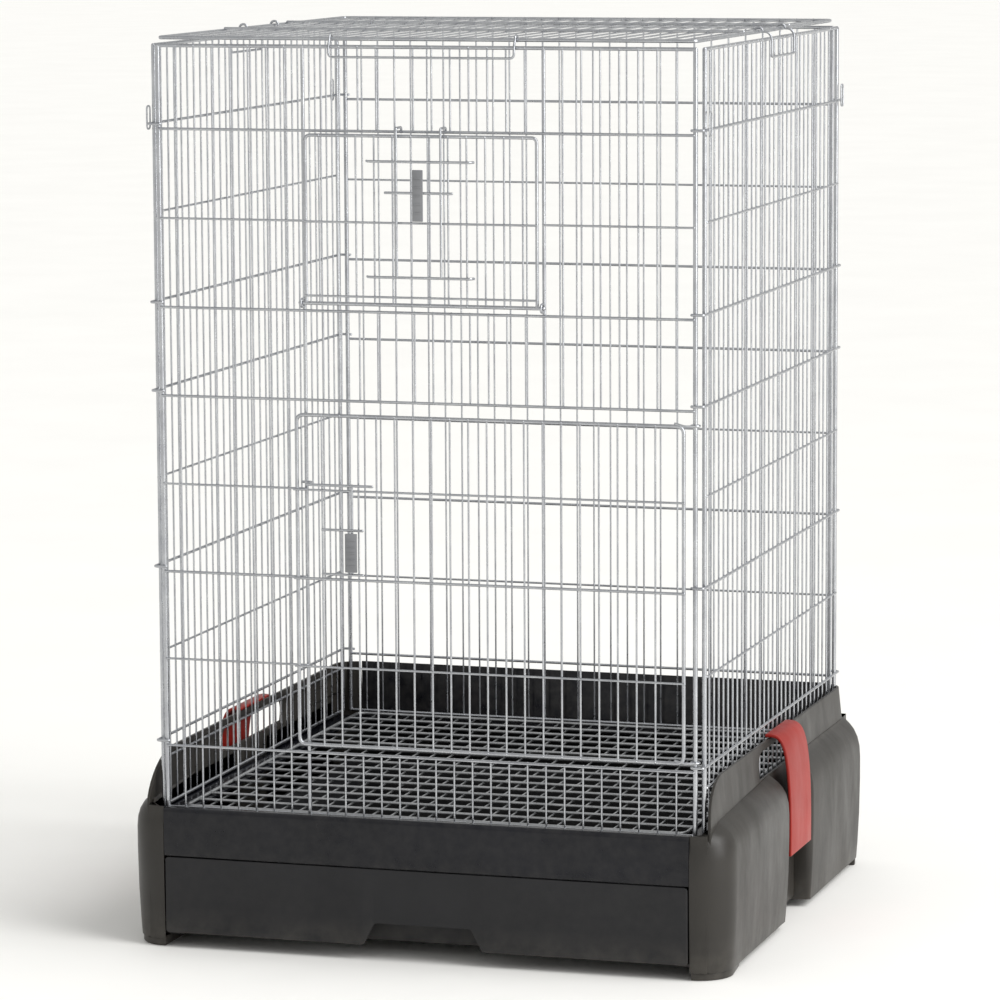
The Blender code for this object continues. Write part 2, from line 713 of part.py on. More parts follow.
def base_back_wall(name, material):
    """Back wall, with a flange at each side that fits inside the side mouldings."""
    half = WALL_IN - GAP
    outer = WALL_Y - GAP
    back = boxes([((-half, outer - WALL, WALL_BOTTOM), (half, outer, WALL_TOP))])
    start, end, top = WALL_Y - FLANGE_DEPTH, outer - LAP, WALL_TOP - FLANGE_DROP
    flanges = [((-half, start, WALL_BOTTOM), (-half + WALL, end, top))]
    flanges.append(((half - WALL, start, WALL_BOTTOM), (half, end, top)))
    inner = SHELF_IN - GAP
    ledge_z = SHELF_TOP - WALL
    ledge = ((-inner, MESH_Y - LEDGE_REACH, ledge_z - WALL), (inner, end, ledge_z))
    return finish(joined(back, boxes(flanges), boxes([ledge])), name, material, round_piece=False)


def drawer_front(name, material):
    """Front of the drawer: a plate with a finger notch in its lower edge, folded back along its top."""
    half = FRONT_SLOT_X - DRAWER_FACE_GAP
    inside = -BASE_HALF_DEPTH + WALL
    front = boxes([((-half, -BASE_HALF_DEPTH, TRAY_BOTTOM), (half, inside, TRAY_TOP))])
    flange_low = (-TRAY_X, inside - LAP, TRAY_TOP - WALL)
    flange_high = (TRAY_X, TRAY_FRONT - GAP, TRAY_TOP - LAP / 2)
    joined(front, boxes([(flange_low, flange_high)]))
    low, high = TRAY_BOTTOM - WALL, TRAY_BOTTOM + NOTCH_HEIGHT
    wide, narrow = NOTCH_HALF_WIDTH, NOTCH_HALF_WIDTH - NOTCH_SLOPE
    right = [(wide, low), (wide, TRAY_BOTTOM), (narrow, high)]
    outline = right + [(-x, z) for x, z in reversed(right)]
    notch = plate(outline, [], 3 * WALL)
    notch.data.transform(front_plane(BASE_HALF_DEPTH - FRONT_Y))
    return finish(cut(front, notch), name, material, round_piece=False)


def drawer_tray(name, material):
    """Open litter tray behind the drawer's front."""
    body = boxes([((-TRAY_X, TRAY_FRONT, TRAY_BOTTOM), (TRAY_X, TRAY_BACK, TRAY_TOP - 2 * LAP))])
    cavity = boxes([(
        (-TRAY_X + WALL, TRAY_FRONT + WALL, TRAY_BOTTOM + WALL),
        (TRAY_X - WALL, TRAY_BACK - WALL, TRAY_TOP + WALL),
    )])
    return finish(cut(body, cavity), name, material, round_piece=False)


def floor_mesh(name, material):
    """Lift-out floor: long slots between cross wires, with front-to-back wires under them."""
    ys = column_x(MESH_Y, MESH_ROWS)
    holes = [rectangle(-MESH_X + THIN, MESH_X - THIN, a + THIN, b - THIN) for a, b in zip(ys, ys[1:])]
    mesh = plate(rectangle(-MESH_X, MESH_X, -MESH_Y, MESH_Y), holes, 2 * THIN)
    edge = rounded_frame(-MESH_X, MESH_X, -MESH_Y, MESH_Y, FRAME_CORNER)
    joined(mesh, wires([edge], RAIL, 1, cyclic=True))
    xs = column_x(MESH_X, MESH_BARS)[1:-1]
    joined(mesh, wires([[(x, -MESH_Y, -BAR_OFFSET), (x, MESH_Y, -BAR_OFFSET)] for x in xs], BAR))
    return finish(mesh, name, material, Matrix.Translation((0, 0, MESH_Z)))


# Levers

def lever_profile():
    """Middle line of the lever in the XZ plane, from the tip of its tongue down to its foot."""
    return [
        (0.2998, 0.2078), (0.3060, 0.2082), (0.3120, 0.2070), (0.3165, 0.2035), (0.3200, 0.1970),
        (0.3232, 0.1850), (0.3258, 0.1650), (0.3274, 0.1400), (0.3280, 0.1100), (0.3280, 0.0770),
    ]


def band_outline(points, thickness):
    """Outline of a band of even thickness about a line."""
    left = []
    right = []
    for number, point in enumerate(points):
        before = Vector(points[max(number - 1, 0)])
        after = Vector(points[min(number + 1, len(points) - 1)])
        along = (after - before).normalized()
        normal = Vector((-along.y, along.x)) * thickness / 2
        left.append(tuple(Vector(point) + normal))
        right.append(tuple(Vector(point) - normal))
    return left + right[::-1]


def lever(name, side, material):
    """Curved clamp lever: its tongue lies over the clamp rail and its foot turns on a pin."""
    band = plate(band_outline(lever_profile(), LEVER_THICKNESS), [], 2 * LEVER_HALF_WIDTH)
    band.data.transform(upright(Vector((1, 0, 0)), Vector((0, -1, 0)), (0, 0, 0)))
    centre = (PIVOT_X, 0, PIVOT_Z)
    joined(band, cylinder(centre, BARREL_RADIUS, 2 * LEVER_HALF_WIDTH - 0.0100, (0, 1, 0)))
    cut(band, cylinder(centre, PIN_RADIUS + GAP, 0.1200, (0, 1, 0)))
    mirrored(band, side)
    return finish(band, name, material, origin=(side * PIVOT_X, 0, PIVOT_Z))


def lever_pin(name, side, material):
    pin = cylinder((side * PIVOT_X, 0, PIVOT_Z), PIN_RADIUS, 2 * (POD_GAP + WALL), (0, 1, 0))
    return finish(pin, name, material)


def build():
    steel = new_material("zinc_plated_wire", (0.62, 0.63, 0.64), 0.35, 1.0)
    floor_steel = new_material("galvanised_mesh", (0.52, 0.53, 0.54), 0.45, 1.0)
    dark = new_material("glossy_black_plastic", (0.016, 0.016, 0.020), 0.25, 0.0)
    side_grey = new_material("satin_grey_plastic", (0.085, 0.080, 0.073), 0.40, 0.0)
    tray_grey = new_material("charcoal_plastic", (0.032, 0.032, 0.033), 0.50, 0.0)
    red = new_material("red_plastic", (0.52, 0.06, 0.035), 0.40, 0.0)
    tab_grey = new_material("grey_tab_plastic", (0.25, 0.25, 0.26), 0.45, 0.0)
    for side, word in ((-1, "left"), (1, "right")):
        base_side(f"base_side_{word}", side, side_grey)
        lever_pin(f"lever_pin_{word}", side, steel)
        lever(f"lever_{word}", side, red)
        side_panel(f"{word}_panel", side, steel)
        side_bail(f"roof_bail_{word}", side, steel)
        for end, place in ((-1, "front"), (1, "back")):
            corner_loop(f"corner_loop_{place}_{word}", side, end, steel)
    base_front_rail("base_front_rail", dark)
    base_back_wall("base_back_wall", dark)
    drawer_front("drawer_front", tray_grey)
    drawer_tray("drawer_tray", tray_grey)
    floor_mesh("floor_mesh", floor_steel)
    front_panels(steel)
    back_panel("back_panel", steel)
    roof_panel("roof_panel", steel)
    front_bail("roof_bail_front", steel)
    lower_door("door_lower", steel)
    upper_door("door_upper", steel)
    lower_latch("latch_lower_wire", "latch_lower_tab", steel, tab_grey)
    upper_latch("latch_upper_wire", "latch_upper_tab", steel, tab_grey)


build()
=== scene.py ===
"""Looks of the wire rabbit cage: round welded wire, moulded base, drawer and clamp levers, in metres."""

import math

import bmesh
import bpy
from mathutils import Matrix, Vector


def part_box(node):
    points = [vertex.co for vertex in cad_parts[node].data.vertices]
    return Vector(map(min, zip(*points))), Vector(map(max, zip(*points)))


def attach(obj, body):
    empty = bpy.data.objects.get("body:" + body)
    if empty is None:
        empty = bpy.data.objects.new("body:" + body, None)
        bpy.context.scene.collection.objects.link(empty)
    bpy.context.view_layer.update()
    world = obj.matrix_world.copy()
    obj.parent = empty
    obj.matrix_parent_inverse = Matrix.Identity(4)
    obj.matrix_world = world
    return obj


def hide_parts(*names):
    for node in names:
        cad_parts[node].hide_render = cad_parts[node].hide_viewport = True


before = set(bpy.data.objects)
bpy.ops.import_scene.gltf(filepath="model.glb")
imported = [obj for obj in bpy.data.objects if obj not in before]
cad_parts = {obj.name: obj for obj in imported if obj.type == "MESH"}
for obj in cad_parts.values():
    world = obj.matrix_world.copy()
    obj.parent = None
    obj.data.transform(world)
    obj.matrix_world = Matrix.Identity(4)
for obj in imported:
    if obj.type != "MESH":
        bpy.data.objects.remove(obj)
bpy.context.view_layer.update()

# Wire radii
THIN = 0.00105
LEVEL = 0.0012
HOOKED = 0.0015
RAIL = 0.0020
POST = 0.0025
FINE = 0.0013
LATCH_WIRE = 0.0014
TIE_WIRE = 0.00095
WIRE_SIDES = 10

# Welds between wires, and how far a wire's end runs past the wire that it is welded to
WELD = 0.0013
LEVEL_WELD = 0.00135
WELD_SIDES = 8
SUNK = 0.00025
END_LAP = 0.0015
DOOR_LAP = 0.0010
POST_LAP = 0.0012

# Shading: edges sharper than this stay hard
SHARP_ANGLE = math.radians(38)
BEVEL_ANGLE = math.radians(40)

# Wirework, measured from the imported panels
BACK_LOW, BACK_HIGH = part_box("back_panel")
POST_X = BACK_HIGH.x - RAIL
CAGE_BOTTOM = BACK_LOW.z + RAIL
CAGE_TOP = BACK_HIGH.z - RAIL
FRONT_Y = 0.3000
SIDE_X = 0.2970
SIDE_POST_Y = 0.2920
COLUMNS_WIDE = 29
COLUMNS_DEEP = 30
PITCH = 2 * POST_X / COLUMNS_WIDE
LEVEL_E = 0.2150
LEVEL_STEP = 0.0933
LEVELS = [LEVEL_E + LEVEL_STEP * number for number in range(8)]
LEVEL_DE, LEVEL_D, LEVEL_CD, LEVEL_C, LEVEL_B, LEVEL_AB, LEVEL_A = LEVELS[1:]
HOOK_LEVELS = (LEVEL_E, LEVEL_D, LEVEL_C, LEVEL_B, LEVEL_A)
SIDE_LEVEL_LIFT = 0.0050
CLAMP_RAIL_Z = 0.1975
JAMB_COLUMN = 8
UPPER_JAMB_COLUMN = 21
JAMB = -POST_X + JAMB_COLUMN * PITCH
UPPER_JAMB = -POST_X + UPPER_JAMB_COLUMN * PITCH

# Doors
DOOR_PLANE = 0.0085
DOOR_LOW, DOOR_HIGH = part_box("door_lower")
DOOR_BOTTOM = DOOR_LOW.z + RAIL
DOOR_TOP = DOOR_HIGH.z - RAIL
DOOR_LEFT = JAMB - 0.0075
DOOR_RIGHT = POST_X - 0.0100
EYE_RADIUS = 0.0044
HATCH_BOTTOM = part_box("door_upper")[0].z + RAIL
HATCH_TOP = LEVEL_A - 0.0042  # 2.3 mm above the CAD's, as in the photograph
HATCH_INSET = 0.0050
HATCH_LOOP = 0.0040
LATCH_PLANE = DOOR_PLANE + 0.0062

# Latches
LOWER_LATCH_X = 0.0540
LOWER_LATCH_LIFT = 0.0060
UPPER_LATCH_HALF = 0.0240
UPPER_LATCH_BAR = 0.0545
UPPER_LATCH_TIP = 0.0580
UPPER_TAB_BAR = 0.0370
TAB_RIBS = 5

# Roof
ROOF_Z = 0.9625
ROOF_HALF_DEPTH = 0.2960
ROOF_BARS_Y = (-0.1000, 0.1000)
HINGE_COLUMNS = (4.5, 24.5)
HINGE_GAP = 0.0018
BAIL_CURL = 0.0046  # 0.8 mm wider than the CAD's, with which clash.py lists the curls against the edge wire
FRONT_BAIL_HALF = 5 * PITCH
FRONT_BAIL_DROP = 0.0185
SIDE_BAIL_Y = (-0.0400, 0.0600)
SIDE_BAIL_DROP = 0.0265

# Moulded base
BASE_HALF_DEPTH = 0.3200
POD_X = 0.3300
WALL = 0.0030
WALL_OUT = 0.3090
WALL_Y = 0.3120
WALL_TOP = 0.2050
WALL_BOTTOM = 0.0120
WALL_LEAN = 0.0045
WALL_SHOULDER = 0.1600
WALL_CORNER = 0.0300
RIM_Z = 0.1510
SEAM_Z = 0.0990
POD_CORNER = 0.0400
POD_GAP = 0.0500
POD_GAP_CORNER = 0.0080
POD_SHOULDER = 0.1250
POD_FRONT = 0.2500
FOOT_STEP = 0.0080
FOOT_INSET = 0.0050
FRONT_FOOT = 0.0800
BACK_FOOT = 0.0400
SLOT_X = 0.2880
SHELF_TOP = 0.1447
SHELF_IN = 0.2680
RUNNER_IN = 0.2700
RUNNER_TOP = 0.0157
LEDGE_REACH = 0.0080
FIT = 0.0003  # Gap that keeps the faces of neighbouring mouldings apart
SWEEP_DEPTH = 0.0670
WINDOW_HALF = 0.1000
WINDOW_LOW = 0.1690
WINDOW_HIGH = 0.1970
WINDOW_RADIUS = 0.0200

# Drawer
TRAY_LOW, TRAY_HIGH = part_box("drawer_tray")
TRAY_BOTTOM = TRAY_LOW.z
TRAY_TOP = 0.0975
NOTCH_HALF_WIDTH = 0.0650
NOTCH_HEIGHT = 0.0240
NOTCH_SLOPE = 0.0120
FACE_GAP = 0.0015
FACE_CORNER = 0.0030
TRAY_CORNER = 0.0140

# Floor mesh
MESH_X = 0.2750
MESH_Y = 0.2858
MESH_Z = 0.1470
MESH_ROWS = 16
MESH_BARS = 27
MESH_WIRE = 0.0018

# Levers
PIVOT_X = 0.3220
PIVOT_Z = 0.0840
LEVER_HALF_WIDTH = 0.0460
LEVER_THICKNESS = 0.0034
BARREL_RADIUS = 0.0058
PIN_RADIUS = 0.0030

# Camera, at the height and angle from which the cage is looked at
CAMERA_PLACE = Vector((1.5174, -4.9541, 1.1535))
CAMERA_YAW = 0.2993
CAMERA_PITCH = 0.1354
CAMERA_ROLL = -0.0051
CAMERA_LENS = 171.6


def add_camera():
    camera = linked("camera", bpy.data.cameras.new("camera"))
    camera.data.lens = CAMERA_LENS
    camera.data.sensor_width = 36.0
    camera.data.clip_end = 300.0
    turn = (
        Matrix.Rotation(CAMERA_YAW, 4, "Z")
        @ Matrix.Rotation(math.pi / 2 - CAMERA_PITCH, 4, "X")
        @ Matrix.Rotation(CAMERA_ROLL, 4, "Z")
    )
    camera.matrix_world = Matrix.Translation(CAMERA_PLACE) @ turn
    bpy.context.scene.camera = camera


# Materials

def linear(red, green, blue):
    """A colour given as 0 to 255 display values, as a linear colour."""
    shares = [value / 255 for value in (red, green, blue)]
    return tuple(((v + 0.055) / 1.055) ** 2.4 if v > 0.04 else v / 12.92 for v in shares)


class Finish:
    """A procedural material under construction: a Principled shader and the textures that drive it."""

    def __init__(self, name, metallic=0.0, **sockets):
        self.material = bpy.data.materials.new(name)
        self.material.use_nodes = True
        self.nodes = self.material.node_tree.nodes
        self.links = self.material.node_tree.links
        self.shader = self.nodes["Principled BSDF"]
        self.shader.inputs["Metallic"].default_value = metallic
        for socket, value in sockets.items():
            self.shader.inputs[socket.replace("_", " ")].default_value = value
        self.place = self.nodes.new("ShaderNodeTexCoord").outputs["Object"]

    def stretched(self, scale):
        mapping = self.nodes.new("ShaderNodeMapping")
        mapping.inputs["Scale"].default_value = scale
        self.links.new(self.place, mapping.inputs["Vector"])
        return mapping.outputs["Vector"]

    def noise(self, scale, detail=4.0, roughness=0.55, stretch=None):
        texture = self.nodes.new("ShaderNodeTexNoise")
        texture.inputs["Scale"].default_value = scale
        texture.inputs["Detail"].default_value = detail
        texture.inputs["Roughness"].default_value = roughness
        self.links.new(self.stretched(stretch) if stretch else self.place, texture.inputs["Vector"])
        return texture.outputs["Fac"]

    def cells(self, scale, output="Distance"):
        texture = self.nodes.new("ShaderNodeTexVoronoi")
        texture.inputs["Scale"].default_value = scale
        self.links.new(self.place, texture.inputs["Vector"])
        return texture.outputs[output]

    def ranged(self, value, low, high, from_low=0.3, from_high=0.7):
        node = self.nodes.new("ShaderNodeMapRange")
        node.inputs["From Min"].default_value = from_low
        node.inputs["From Max"].default_value = from_high
        node.inputs["To Min"].default_value = low
        node.inputs["To Max"].default_value = high
        self.links.new(value, node.inputs["Value"])
        return node.outputs["Result"]

    def mixed(self, first, second, factor):
        """A colour between two, each a linear colour or another node's output."""
        node = self.nodes.new("ShaderNodeMix")
        node.data_type = "RGBA"
        for socket, value in ((node.inputs[6], first), (node.inputs[7], second)):
            if isinstance(value, tuple):
                socket.default_value = (*value, 1.0)
            else:
                self.links.new(value, socket)
        self.links.new(factor, node.inputs[0])
        return node.outputs[2]

    def height_band(self, low, high):
        """1 at and below the height low, 0 at and above the height high."""
        split = self.nodes.new("ShaderNodeSeparateXYZ")
        self.links.new(self.place, split.inputs[0])
        return self.ranged(split.outputs["Z"], 1.0, 0.0, low, high)

    def edges(self):
        """Near 1 on convex edges, where handling polishes or scuffs the surface."""
        geometry = self.nodes.new("ShaderNodeNewGeometry")
        return self.ranged(geometry.outputs["Pointiness"], 0.0, 1.0, 0.52, 0.60)

    def product(self, first, second):
        node = self.nodes.new("ShaderNodeMath")
        node.operation = "MULTIPLY"
        for socket, value in zip(node.inputs, (first, second)):
            if isinstance(value, float):
                socket.default_value = value
            else:
                self.links.new(value, socket)
        return node.outputs[0]

    def colour(self, output):
        self.links.new(output, self.shader.inputs["Base Color"])

    def roughness(self, output):
        self.links.new(output, self.shader.inputs["Roughness"])

    def bump(self, *layers):
        """Stacks bumps, each a height output with its depth in metres and its strength."""
        normal = None
        for height, depth, strength in layers:
            node = self.nodes.new("ShaderNodeBump")
            node.inputs["Strength"].default_value = strength
            node.inputs["Distance"].default_value = depth
            self.links.new(height, node.inputs["Height"])
            if normal:
                self.links.new(normal, node.inputs["Normal"])
            normal = node.outputs["Normal"]
        self.links.new(normal, self.shader.inputs["Normal"])


def wire_finish(name, light, dark, rough):
    """Zinc-plated wire: cloudy plating, fine drawing marks and duller patches."""
    made = Finish(name, metallic=1.0)
    cloud = made.ranged(made.noise(38.0, 5.0), 0.0, 1.0)
    speckle = made.ranged(made.noise(900.0, 3.0), 0.0, 1.0, 0.35, 0.65)
    plated = made.mixed(linear(*dark), linear(*light), cloud)
    made.colour(made.mixed(plated, linear(*[v * 0.80 for v in dark]), made.product(speckle, 0.35)))
    made.roughness(made.ranged(made.noise(120.0, 4.0), rough - 0.08, rough + 0.10))
    drawn = made.noise(2600.0, 2.0, stretch=(1.0, 1.0, 0.08))
    made.bump((made.noise(700.0, 3.0), 0.00010, 0.25), (drawn, 0.00005, 0.20))
    return made.material


def plastic_finish(name, light, dark, rough, grain, grain_depth, shine, scuff=(120, 116, 110)):
    """Moulded plastic: uneven tone, moulding grain, faint rubbed edges and dust low down."""
    made = Finish(name, Specular_IOR_Level=shine)
    tone = made.ranged(made.noise(7.0, 4.0), 0.0, 1.0)
    flow = made.ranged(made.noise(2.2, 3.0, stretch=(1.0, 1.0, 3.5)), 0.0, 1.0)
    base = made.mixed(linear(*dark), linear(*light), tone)
    base = made.mixed(base, linear(*[v * 0.86 for v in dark]), made.product(flow, 0.45))
    dust = made.product(made.height_band(0.002, 0.045), made.ranged(made.noise(55.0, 6.0), 0.0, 0.10))
    base = made.mixed(base, linear(168, 160, 148), dust)
    rubbed = made.product(made.edges(), made.ranged(made.noise(90.0, 5.0), 0.0, 0.14))
    made.colour(made.mixed(base, linear(*scuff), rubbed))
    smear = made.noise(16.0, 6.0, 0.65, stretch=(1.0, 1.6, 0.6))
    made.roughness(made.ranged(smear, rough - 0.07, rough + 0.11))
    scratches = made.noise(240.0, 2.0, 0.5, stretch=(0.04, 1.0, 1.0))
    made.bump(
        (made.noise(14.0, 2.0), 0.0006, 0.10),
        (made.cells(grain), grain_depth, 0.30),
        (scratches, 0.00006, 0.12),
    )
    return made.material


WIRE = wire_finish("zinc_plated_wire", (200, 202, 205), (172, 174, 179), 0.30)
FLOOR_WIRE = wire_finish("galvanised_mesh_wire", (196, 197, 198), (158, 160, 162), 0.42)
PIN_STEEL = wire_finish("bright_pin_steel", (190, 190, 192), (160, 160, 163), 0.24)
GLOSS_BLACK = plastic_finish("glossy_black_plastic", (20, 21, 28), (13, 14, 19), 0.17, 700.0, 0.00003, 0.26)
SIDE_GREY = plastic_finish("satin_grey_plastic", (54, 51, 47), (42, 40, 37), 0.38, 1300.0, 0.00010, 0.32)
TRAY_GREY = plastic_finish("charcoal_plastic", (42, 42, 44), (31, 31, 33), 0.50, 1100.0, 0.00014, 0.25)
RED = plastic_finish(
    "red_plastic", (160, 36, 25), (136, 29, 21), 0.42, 1300.0, 0.00008, 0.30, scuff=(206, 92, 74)
)
TAB_GREY = plastic_finish("grey_tab_plastic", (150, 151, 154), (122, 124, 128), 0.42, 1500.0, 0.00006, 0.45)


# Mesh work

def ring_of(bm, centre, side, up, radius, sides):
    angles = [2 * math.pi * number / sides for number in range(sides)]
    return [bm.verts.new(centre + radius * (math.cos(a) * side + math.sin(a) * up)) for a in angles]


def skin(bm, rings, closed):
    """Quads between each ring of vertices and the next."""
    pairs = list(zip(rings, rings[1:]))
    if closed:
        pairs.append((rings[-1], rings[0]))
    for first, second in pairs:
        count = len(first)
        for number in range(count):
            after = (number + 1) % count
            bm.faces.new((first[number], first[after], second[after], second[number]))
    if not closed:
        bm.faces.new(rings[0][::-1])
        bm.faces.new(rings[-1])


def tube(bm, points, radius, cyclic=False, sides=WIRE_SIDES):
    """A round wire along the points, with its cut ends slightly chamfered."""
    points = [Vector(point) for point in points]
    stations = [(point, radius) for point in points]
    if not cyclic:
        chamfer = 0.4 * radius
        first = (points[1] - points[0]).normalized() * chamfer
        last = (points[-2] - points[-1]).normalized() * chamfer
        stations = [
            (points[0], 0.65 * radius), (points[0] + first, radius), *stations[1:-1],
            (points[-1] + last, radius), (points[-1], 0.65 * radius),
        ]
    count = len(stations)
    side = None
    rings = []
    for number, (centre, size) in enumerate(stations):
        before = stations[number - 1][0] if number or cyclic else centre
        after = stations[(number + 1) % count][0] if number < count - 1 or cyclic else centre
        along = (after - before).normalized()
        side = along.orthogonal() if side is None else side - side.dot(along) * along
        side.normalize()
        rings.append(ring_of(bm, centre, side, along.cross(side), size, sides))
    skin(bm, rings, cyclic)


def bent(points, radius, steps=5, cyclic=False):
    """The points of a wire bent at each corner with about this radius."""
    points = [Vector(point) for point in points]
    count = len(points)
    out = []
    for number, corner in enumerate(points):
        if not cyclic and number in (0, count - 1):
            out.append(corner)
            continue
        before = points[number - 1] - corner
        after = points[(number + 1) % count] - corner
        reach = min(radius, 0.49 * before.length, 0.49 * after.length)
        start, end = corner + before.normalized() * reach, corner + after.normalized() * reach
        for step in range(steps + 1):
            t = step / steps
            out.append((1 - t) ** 2 * start + 2 * t * (1 - t) * corner + t ** 2 * end)
    return out


def weld(bm, centre, axis, radius):
    """A squeezed-out weld spot where two wires cross; axis points from one wire to the other."""
    axis = Vector(axis)
    side = axis.orthogonal().normalized()
    up = axis.cross(side)
    rings = [
        ring_of(bm, Vector(centre) + axis * radius * offset, side, up, radius * size, WELD_SIDES)
        for offset, size in ((-0.85, 0.45), (-0.45, 0.88), (0.0, 1.0), (0.45, 0.88), (0.85, 0.45))
    ]
    skin(bm, rings, False)


def arc(centre, radius, start, end, steps):
    """Points of an arc in a plane, from angle start to angle end in degrees."""
    angles = [math.radians(start + (end - start) * step / steps) for step in range(steps + 1)]
    return [(centre[0] + radius * math.cos(a), centre[1] + radius * math.sin(a)) for a in angles]


def prism(bm, outline, places):
    """A closed solid between copies of the outline; each of places turns its points into 3-D ones."""
    rings = [[bm.verts.new(Vector(place(a, b))) for a, b in outline] for place in places]
    skin(bm, rings, False)


def rectangle(half_x, half_y):
    """The corners of a flat rectangle about the origin."""
    return [(x, y, 0.0) for x, y in (
        (-half_x, -half_y), (half_x, -half_y), (half_x, half_y), (-half_x, half_y),
    )]


def slab(bm, low, high):
    size = Vector(high) - Vector(low)
    place = Matrix.Translation((Vector(low) + Vector(high)) / 2) @ Matrix.Diagonal((*size, 1.0))
    bmesh.ops.create_cube(bm, size=1.0, matrix=place)


def linked(name, data):
    """A new object in the scene that holds this mesh, light or camera."""
    obj = bpy.data.objects.new(name, data)
    bpy.context.scene.collection.objects.link(obj)
    return obj


def object_of(bm, name):
    """Turns the mesh under construction into an object of the scene."""
    mesh = bpy.data.meshes.new(name)
    bm.to_mesh(mesh)
    bm.free()
    return linked(name, mesh)


def shaded(obj):
    obj.data.shade_smooth()
    obj.data.set_sharp_from_angle(angle=SHARP_ANGLE)


def piece(bm, name, body, material, replaces=(), place=None, bevel=None, mirror=False):
    """Makes the mesh an object that rides on the body and stands for the CAD nodes."""
    if place is not None:
        bm.transform(place)
    if mirror:
        bm.transform(MIRROR)
    bmesh.ops.recalc_face_normals(bm, faces=bm.faces)
    obj = object_of(bm, name)
    obj.data.materials.append(material)
    if bevel:
        soften(obj, *bevel)
    shaded(obj)
    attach(obj, body)
    if replaces:
        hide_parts(*replaces)
    return obj


def applied(obj):
    """Applies the object's modifiers to its mesh."""
    bpy.context.view_layer.update()
    mesh = bpy.data.meshes.new_from_object(obj.evaluated_get(bpy.context.evaluated_depsgraph_get()))
    obj.modifiers.clear()
    obj.data = mesh


def soften(obj, width, segments):
    """Rounds the piece's sharp edges."""
    modifier = obj.modifiers.new("soft_edges", "BEVEL")
    modifier.width = width
    modifier.segments = segments
    modifier.limit_method = "ANGLE"
    modifier.angle_limit = BEVEL_ANGLE
    modifier.miter_outer = "MITER_ARC"
    applied(obj)


def standing(across, outward, origin):
    """Stands a panel up: its local X runs along across, its Y up and its Z outward."""
    turn = Matrix((across, Vector((0, 0, 1)), outward)).transposed().to_4x4()
    return Matrix.Translation(origin) @ turn


FRONT = standing(Vector((1, 0, 0)), Vector((0, -1, 0)), (0, -FRONT_Y, 0))
BACK = standing(Vector((-1, 0, 0)), Vector((0, 1, 0)), (0, FRONT_Y, 0))
OUT = (0, 0, 1)
MIRROR = Matrix.Scale(-1, 4, (1, 0, 0))


def column_x(half_width, columns):
    return [-half_width + 2 * half_width / columns * number for number in range(columns + 1)]


def upright_wire(bm, x, low, high, radius=THIN, depth=0.0):
    tube(bm, [(x, low, depth), (x, high, depth)], radius)


def level_wire(bm, x_low, x_high, height, crossings, radius=LEVEL, upright=THIN, depth=0.0):
    """A level wire on the outer side of the uprights, with a weld spot at each crossing."""
    offset = depth + upright + radius - SUNK
    tube(bm, [(x_low, height, offset), (x_high, height, offset)], radius)
    for x in crossings:
        if x_low <= x <= x_high:
            weld(bm, (x, height, depth + upright - 0.0001), OUT, LEVEL_WELD)


# Wire cage

def panel_edges(bm, half_width, xs):
    """Corner posts and the rails along the top and the bottom."""
    for x in (-half_width, half_width):
        upright_wire(bm, x, CAGE_BOTTOM - POST_LAP, CAGE_TOP + POST_LAP, POST)
    for height in (CAGE_BOTTOM, CAGE_TOP):
        tube(bm, [(-half_width - RAIL, height, 0), (half_width + RAIL, height, 0)], RAIL)
        for x in xs[1:-1]:
            weld(bm, (x, height, THIN), OUT, WELD)


def level_radius(level):
    return HOOKED if level in HOOK_LEVELS else LEVEL


def back_grille():
    bm = bmesh.new()
    xs = column_x(POST_X, COLUMNS_WIDE)
    for x in xs[1:-1]:
        upright_wire(bm, x, CAGE_BOTTOM, CAGE_TOP)
    panel_edges(bm, POST_X, xs)
    for level in LEVELS:
        level_wire(bm, -POST_X, POST_X, level, xs, level_radius(level))
    piece(bm, "back_grille", "cage", WIRE, ["back_panel"], BACK)


def front_grille():
    """Front panel, whose thin uprights stop above and below the two doorways."""
    bm = bmesh.new()
    xs = column_x(POST_X, COLUMNS_WIDE)
    below_doors = (CAGE_BOTTOM, LEVEL_E + END_LAP)
    between_doors = (LEVEL_C - END_LAP, LEVEL_B + END_LAP)
    above_hatch = (LEVEL_A - END_LAP, CAGE_TOP)
    above_large_door = (LEVEL_C - END_LAP, CAGE_TOP)
    for column in range(1, COLUMNS_WIDE):
        if column < JAMB_COLUMN:
            spans = [(CAGE_BOTTOM, CAGE_TOP)]
        elif column == JAMB_COLUMN:
            spans = []
        elif column < UPPER_JAMB_COLUMN:
            spans = [below_doors, between_doors, above_hatch]
        elif column == UPPER_JAMB_COLUMN:
            spans = [below_doors]
        else:
            spans = [below_doors, above_large_door]
        for low, high in spans:
            upright_wire(bm, xs[column], low, high)
    upright_wire(bm, JAMB, CAGE_BOTTOM, CAGE_TOP, RAIL)
    upright_wire(bm, UPPER_JAMB, LEVEL_C - END_LAP, CAGE_TOP, RAIL)
    panel_edges(bm, POST_X, xs)
    for level in LEVELS:
        end = POST_X if level in (LEVEL_E, LEVEL_C, LEVEL_B, LEVEL_A) else JAMB
        level_wire(bm, -POST_X, end, level, xs, level_radius(level))
    level_wire(bm, UPPER_JAMB, POST_X, LEVEL_AB, xs)
    for x in (JAMB, UPPER_JAMB):
        loop = arc((DOOR_PLANE, HATCH_BOTTOM), HATCH_LOOP, -90, 90, 10)
        path = [(0.0, HATCH_BOTTOM - HATCH_LOOP), *loop, (0.0, HATCH_BOTTOM + HATCH_LOOP)]
        tube(bm, [(x, up, out) for out, up in path], FINE)
    parts = ("left", "sill", "middle", "head", "right")
    stood_for = [f"front_panel_{word}" for word in parts] + ["front_hinge_post"]
    piece(bm, "front_grille", "cage", WIRE, stood_for, FRONT)


